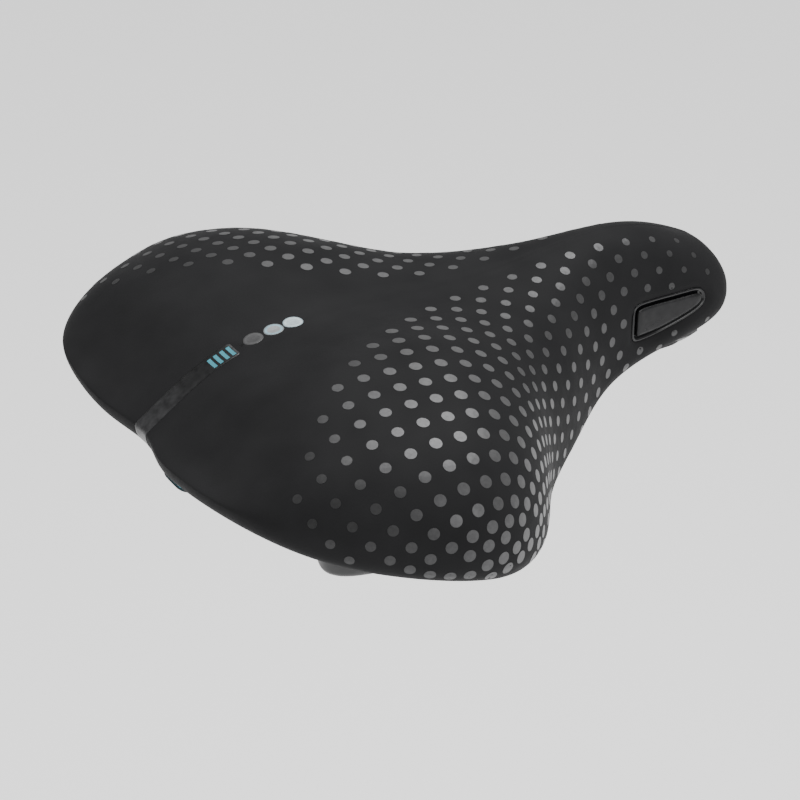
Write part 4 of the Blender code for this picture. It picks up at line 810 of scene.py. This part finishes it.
for word, side in (("left", -1.0), ("right", 1.0)):
    boot_low, boot_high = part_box("bumper_boot_" + word)
    centre = ((boot_low.x + boot_high.x) / 2.0, (boot_low.y + boot_high.y) / 2.0)
    bottom, top = boot_low.z, boot_high.z
    turn = boot_turn * side
    profile = [(boot_wall, top - boot_wall), (boot_wall, bottom + 1.2 * MM),
               (boot_wall - 0.5 * MM, bottom + 0.4 * MM)]
    for k in range(7):
        a = math.pi / 2.0 * k / 6
        inset = boot_foot * (1.0 - math.sin(a)) + 0.1 * MM
        profile.append((inset, bottom + boot_foot * (1.0 - math.cos(a))))
    profile += [(0.0, bottom + boot_foot + 3.0 * MM), (0.0, bottom + 12.0 * MM), (0.0, top - 6.0 * MM),
                (0.0, top)]
    arch_top = bottom + boot_arch_height
    loops = []
    for inset, z in profile:
        loop = rounded_loop(boot_half[0] - inset, boot_half[1] - inset, z, 2.6, turn, centre)
        raised = []
        for x, y, height in loop:
            near = 0.0
            if (centre[0] - x) * side > 0.0:
                near = np.clip((boot_arch_half - abs(y - centre[1])) / boot_arch_blend, 0.0, 1.0)
            near = near * near * (3.0 - 2.0 * near)
            floor = bottom + (arch_top - bottom) * near
            squeezed = floor + (height - bottom) * (top - floor) / (top - bottom)
            raised.append((x, y, float(squeezed)))
        loops.append(raised)
    boot = skin("rubber_boot_" + word, loops, close_ends=True)
    boot.data.materials.append(rubber)
    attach(boot, "seat")
    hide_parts("bumper_boot_" + word)
    low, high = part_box("elastomer_" + word)
    inset = boot_wall + block_gap
    loops = []
    for grow, z in block_profile:
        level = low.z + z * MM * (high.z - low.z) / (block_height * MM)
        loops.append(rounded_loop(boot_half[0] - inset - grow * MM, boot_half[1] - inset - grow * MM, level,
                                  2.6, turn, centre))
    block = skin("spring_block_" + word, loops, close_ends=True)
    block.data.materials.append(spring)
    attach(block, "rail_frame")
    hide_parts("elastomer_" + word)
    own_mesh(block)

# ---- Centre spring --------------------------------------------------------------------------------
# A block of the same cyan elastomer, moulded onto a thin black foot bolted to the raised middle of the
# bridge, with a thicker pad under the nut. The shell comes down on the block when the rider sits.
foot_low, foot_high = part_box("centre_foot")
foot_rim, nut_pad_rear, nut_pad_inset, foot_edge = 0.6 * MM, -83.2 * MM, 0.3 * MM, 0.25 * MM
centre_profile = ((1.6, 0.0), (0.6, 0.015), (0.1, 0.07), (0.0, 0.14), (0.25, 0.3), (0.45, 0.5), (0.25, 0.72),
                  (0.0, 0.86), (0.15, 0.94), (0.7, 0.985), (1.7, 1.0))
low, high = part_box("elastomer_centre")
low.z = foot_low.z + foot_rim
low.y = foot_low.y
centre = ((low.x + high.x) / 2.0, (low.y + high.y) / 2.0)
half_x, half_y = (high.x - low.x) / 2.0, (high.y - low.y) / 2.0
loops = []
for grow, share in centre_profile:
    z = low.z + (high.z - low.z) * share
    loops.append(rounded_loop(half_x - grow * MM, half_y - grow * MM, z, 4.2, 0.0, centre))
block = skin("spring_block_centre", loops, close_ends=True)
block.data.materials.append(spring)
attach(block, "rail_frame")
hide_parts("elastomer_centre")
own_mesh(block)


def plain_finish(name, low, high, roughness, metallic, grain_scale, grain_depth):
    """A mottled, lightly grained material for a moulded, coated or plated part."""
    made, shader, tree, place = finish_named(name, high, roughness, metallic)
    varied(tree, place, shader, "Base Color", 90.0, low, high)
    smoother, rougher = grey(roughness - 0.06), grey(roughness + 0.06)
    varied(tree, place, shader, "Roughness", 260.0, smoother, rougher)
    speckled(tree, place, grain_scale, 0.25, grain_depth, shader, detail=3.0)
    return made


foot_plate = plain_finish("cup_nylon", (0.015, 0.015, 0.016), (0.024, 0.024, 0.025),
                          0.45, 0.0, 1700.0, 0.08 * MM)
for name, rear, front, bottom, top in (
        ("centre_foot_plate", foot_low.y, foot_high.y, foot_low.z, foot_low.z + foot_rim * 0.98),
        ("centre_nut_pad", nut_pad_rear, foot_high.y - nut_pad_inset, foot_low.z + foot_rim * 0.5,
         foot_high.z)):
    side_inset = 0.0 if rear == foot_low.y else nut_pad_inset
    half_x, half_y = (foot_high.x - foot_low.x) / 2.0 - side_inset, (front - rear) / 2.0
    middle = (0.0, (front + rear) / 2.0)
    round_edge = min(foot_edge, (top - bottom) / 3.0)
    loops = [rounded_loop(half_x - inset, half_y - inset, z, 4.0, 0.0, middle)
             for inset, z in ((round_edge * 3.0, bottom), (round_edge, bottom), (0.0, bottom + round_edge),
                              (0.0, top - round_edge), (round_edge, top), (round_edge * 3.0, top))]
    piece = skin(name, loops, close_ends=True)
    piece.data.materials.append(foot_plate)
    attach(piece, "rail_frame")
    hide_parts("centre_foot")

# ---- Rails ----------------------------------------------------------------------------------------
# One 7 mm round bar of polished steel, bent in a press: two parallel rails that a seat-post clamp grips,
# drawn together into a loop at the nose. Its cut rear ends sit in moulded sockets.
bar_radius = 3.5 * MM
rail_half, rail_straight_half = 22.0 * MM, 38.0 * MM
pivot = (0.0, 101.0 * MM, 27.4 * MM)
nose_spread = 7.0 * MM
rail_corners = [(rail_half + 3.0 * MM, -73.0 * MM, 14.0 * MM),
                (rail_half, -rail_straight_half - 7.0 * MM, 0.0),
                (rail_half, rail_straight_half + 8.5 * MM, 0.0),
                (nose_spread + 1.0 * MM, pivot[1] - 26.0 * MM, pivot[2] - 7.0 * MM),
                (nose_spread, pivot[1] + nose_spread, pivot[2])]
rail_corners += [(-x, y, z) for x, y, z in rail_corners[::-1]]
rail_radii = [0.0, 25.0, 22.0, 20.0, 6.79, 6.79, 20.0, 22.0, 25.0, 0.0]


def bent(corners, radii, steps=20):
    """A run of points along straight legs with their corners rounded."""
    points = [Vector(corners[0])]
    for k in range(1, len(corners) - 1):
        here = Vector(corners[k])
        back = (Vector(corners[k - 1]) - here).normalized()
        ahead = (Vector(corners[k + 1]) - here).normalized()
        half = back.angle(ahead) / 2.0
        reach = radii[k] * MM / math.tan(half)
        middle = here + (back + ahead).normalized() * radii[k] * MM / math.sin(half)
        start, end = here + back * reach - middle, here + ahead * reach - middle
        sweep = start.angle(end)
        for i in range(steps + 1):
            a, b = math.sin((1.0 - i / steps) * sweep), math.sin(i / steps * sweep)
            points.append(middle + (start * a + end * b) / math.sin(sweep))
    points.append(Vector(corners[-1]))
    return points


def wire_tree(name, sides):
    """A geometry tree that sweeps a round section along every line of its seed."""
    tree, source, sink = node_group(name, [("Bar radius", "Float"), ("Finish", "Material")])
    path = add_node(tree, "GeometryNodeMeshToCurve", {"Mesh": source.outputs["Geometry"]})
    section = add_node(tree, "GeometryNodeCurvePrimitiveCircle",
                       {"Resolution": sides, "Radius": source.outputs["Bar radius"]})
    sweep = add_node(tree, "GeometryNodeCurveToMesh",
                     {"Curve": path.outputs["Curve"], "Profile Curve": section.outputs["Curve"],
                      "Fill Caps": True})
    real = add_node(tree, "GeometryNodeRealizeInstances", {"Geometry": sweep.outputs["Mesh"]})
    painted = add_node(tree, "GeometryNodeSetMaterial",
                       {"Geometry": real.outputs["Geometry"], "Material": source.outputs["Finish"]})
    tree.links.new(painted.outputs["Geometry"], sink.inputs["Geometry"])
    return tree


def line_seed(name, runs):
    """A mesh of plain lines, one for each run of points."""
    points, edges = [], []
    for run in runs:
        first = len(points)
        points += [tuple(p) for p in run]
        edges += [(first + k, first + k + 1) for k in range(len(run) - 1)]
    seed = bpy.data.meshes.new(name)
    seed.from_pydata(points, edges, [])
    return seed


def closed_up(made):
    """Welds a swept bar's caps to its sides and turns its faces outwards."""
    form = bmesh.new()
    form.from_mesh(made.data)
    bmesh.ops.remove_doubles(form, verts=form.verts, dist=2e-6)
    bmesh.ops.recalc_face_normals(form, faces=form.faces)
    form.to_mesh(made.data)
    form.free()
    made.data.shade_smooth()
    return made


steel, shader, tree, place = finish_named("polished_steel", (0.62, 0.62, 0.63), 0.22, 1.0)
varied(tree, place, shader, "Roughness", 500.0, grey(0.18), grey(0.30))
rail_line = line_seed("rail_line", [bent(rail_corners, rail_radii)])
rail = closed_up(grown("steel_rail", rail_line, wire_tree("sweep_bar", 32),
                       {"Bar radius": bar_radius, "Finish": steel}))
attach(rail, "rail_frame")
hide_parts("rail_wire")

# ---- Hem staples ----------------------------------------------------------------------------------
# Fine wire staples hold the folded hem to the shell, six on each side. A staple gun shoots each one up
# through the hide into the shell's edge, so that only its flat crown shows.
staple_half, staple_leg, staple_wire, staple_bend = 4.0 * MM, 2.2 * MM, 0.4 * MM, 0.5 * MM
runs = []
for word in ("left", "right"):
    for number in range(1, 7):
        low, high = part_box("hem_staple_" + word + "_" + str(number))
        middle = (low + high) / 2.0
        k = int(np.argmin(np.linalg.norm(hem_ring - np.array(middle), axis=1)))
        along = Vector(hem_ring[(k + 3) % len(hem_ring)] - hem_ring[k - 3]).normalized()
        a, b = middle - along * (staple_half - staple_wire), middle + along * (staple_half - staple_wire)
        up = Vector((0.0, 0.0, staple_leg))
        bend = along * staple_bend
        runs.append([a + up, a + up * 0.2, a + bend, b - bend, b + up * 0.2, b + up])
staples = closed_up(grown("hem_staples", line_seed("staple_lines", runs), wire_tree("sweep_staples", 10),
                          {"Bar radius": staple_wire, "Finish": steel}))
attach(staples, "seat")
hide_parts(*["hem_staple_" + word + "_" + str(n) for word in ("left", "right")
                       for n in range(1, 7)])

# ---- Shell, bridge and small parts ----------------------------------------------------------------
# The shell and the nose clip are glass-filled nylon, the bridge is pressed steel with a black coat, the
# cups and sockets are nylon, and the fastenings are zinc plated. Each keeps its packed form.
shell_plastic = plain_finish("shell_nylon", (0.014, 0.014, 0.015), (0.022, 0.022, 0.023),
                             0.5, 0.0, 1400.0, 0.1 * MM)
clip_plastic = plain_finish("clip_nylon", (0.018, 0.018, 0.019), (0.028, 0.028, 0.029),
                            0.42, 0.0, 1700.0, 0.08 * MM)
black_coat = plain_finish("black_coat", (0.012, 0.012, 0.013), (0.02, 0.02, 0.021),
                          0.32, 0.2, 900.0, 0.12 * MM)
bush_rubber = plain_finish("bush_rubber", grey(0.02), grey(0.03), 0.7, 0.0, 2000.0, 0.08 * MM)
zinc = plain_finish("zinc_plate", (0.48, 0.49, 0.52), (0.62, 0.63, 0.65), 0.3, 1.0, 2200.0, 0.03 * MM)
kept = ((shell_plastic, ("base_shell",)), (clip_plastic, ("nose_bracket", "nose_clip")),
        (foot_plate, ("bumper_cup_left", "bumper_cup_right", "rail_socket_left", "rail_socket_right")),
        (black_coat, ("rear_bridge",)), (bush_rubber, ("nose_bush",)),
        (zinc, ("centre_bolt", "centre_nut", "cup_bolt_left", "cup_bolt_right", "cup_nut_left",
                "cup_nut_right", "nose_screw_front", "nose_screw_rear", "socket_screw_left",
                "socket_screw_right")))
for paint, names in kept:
    for name in names:
        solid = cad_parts[name]
        solid.data.materials.clear()
        solid.data.materials.append(paint)
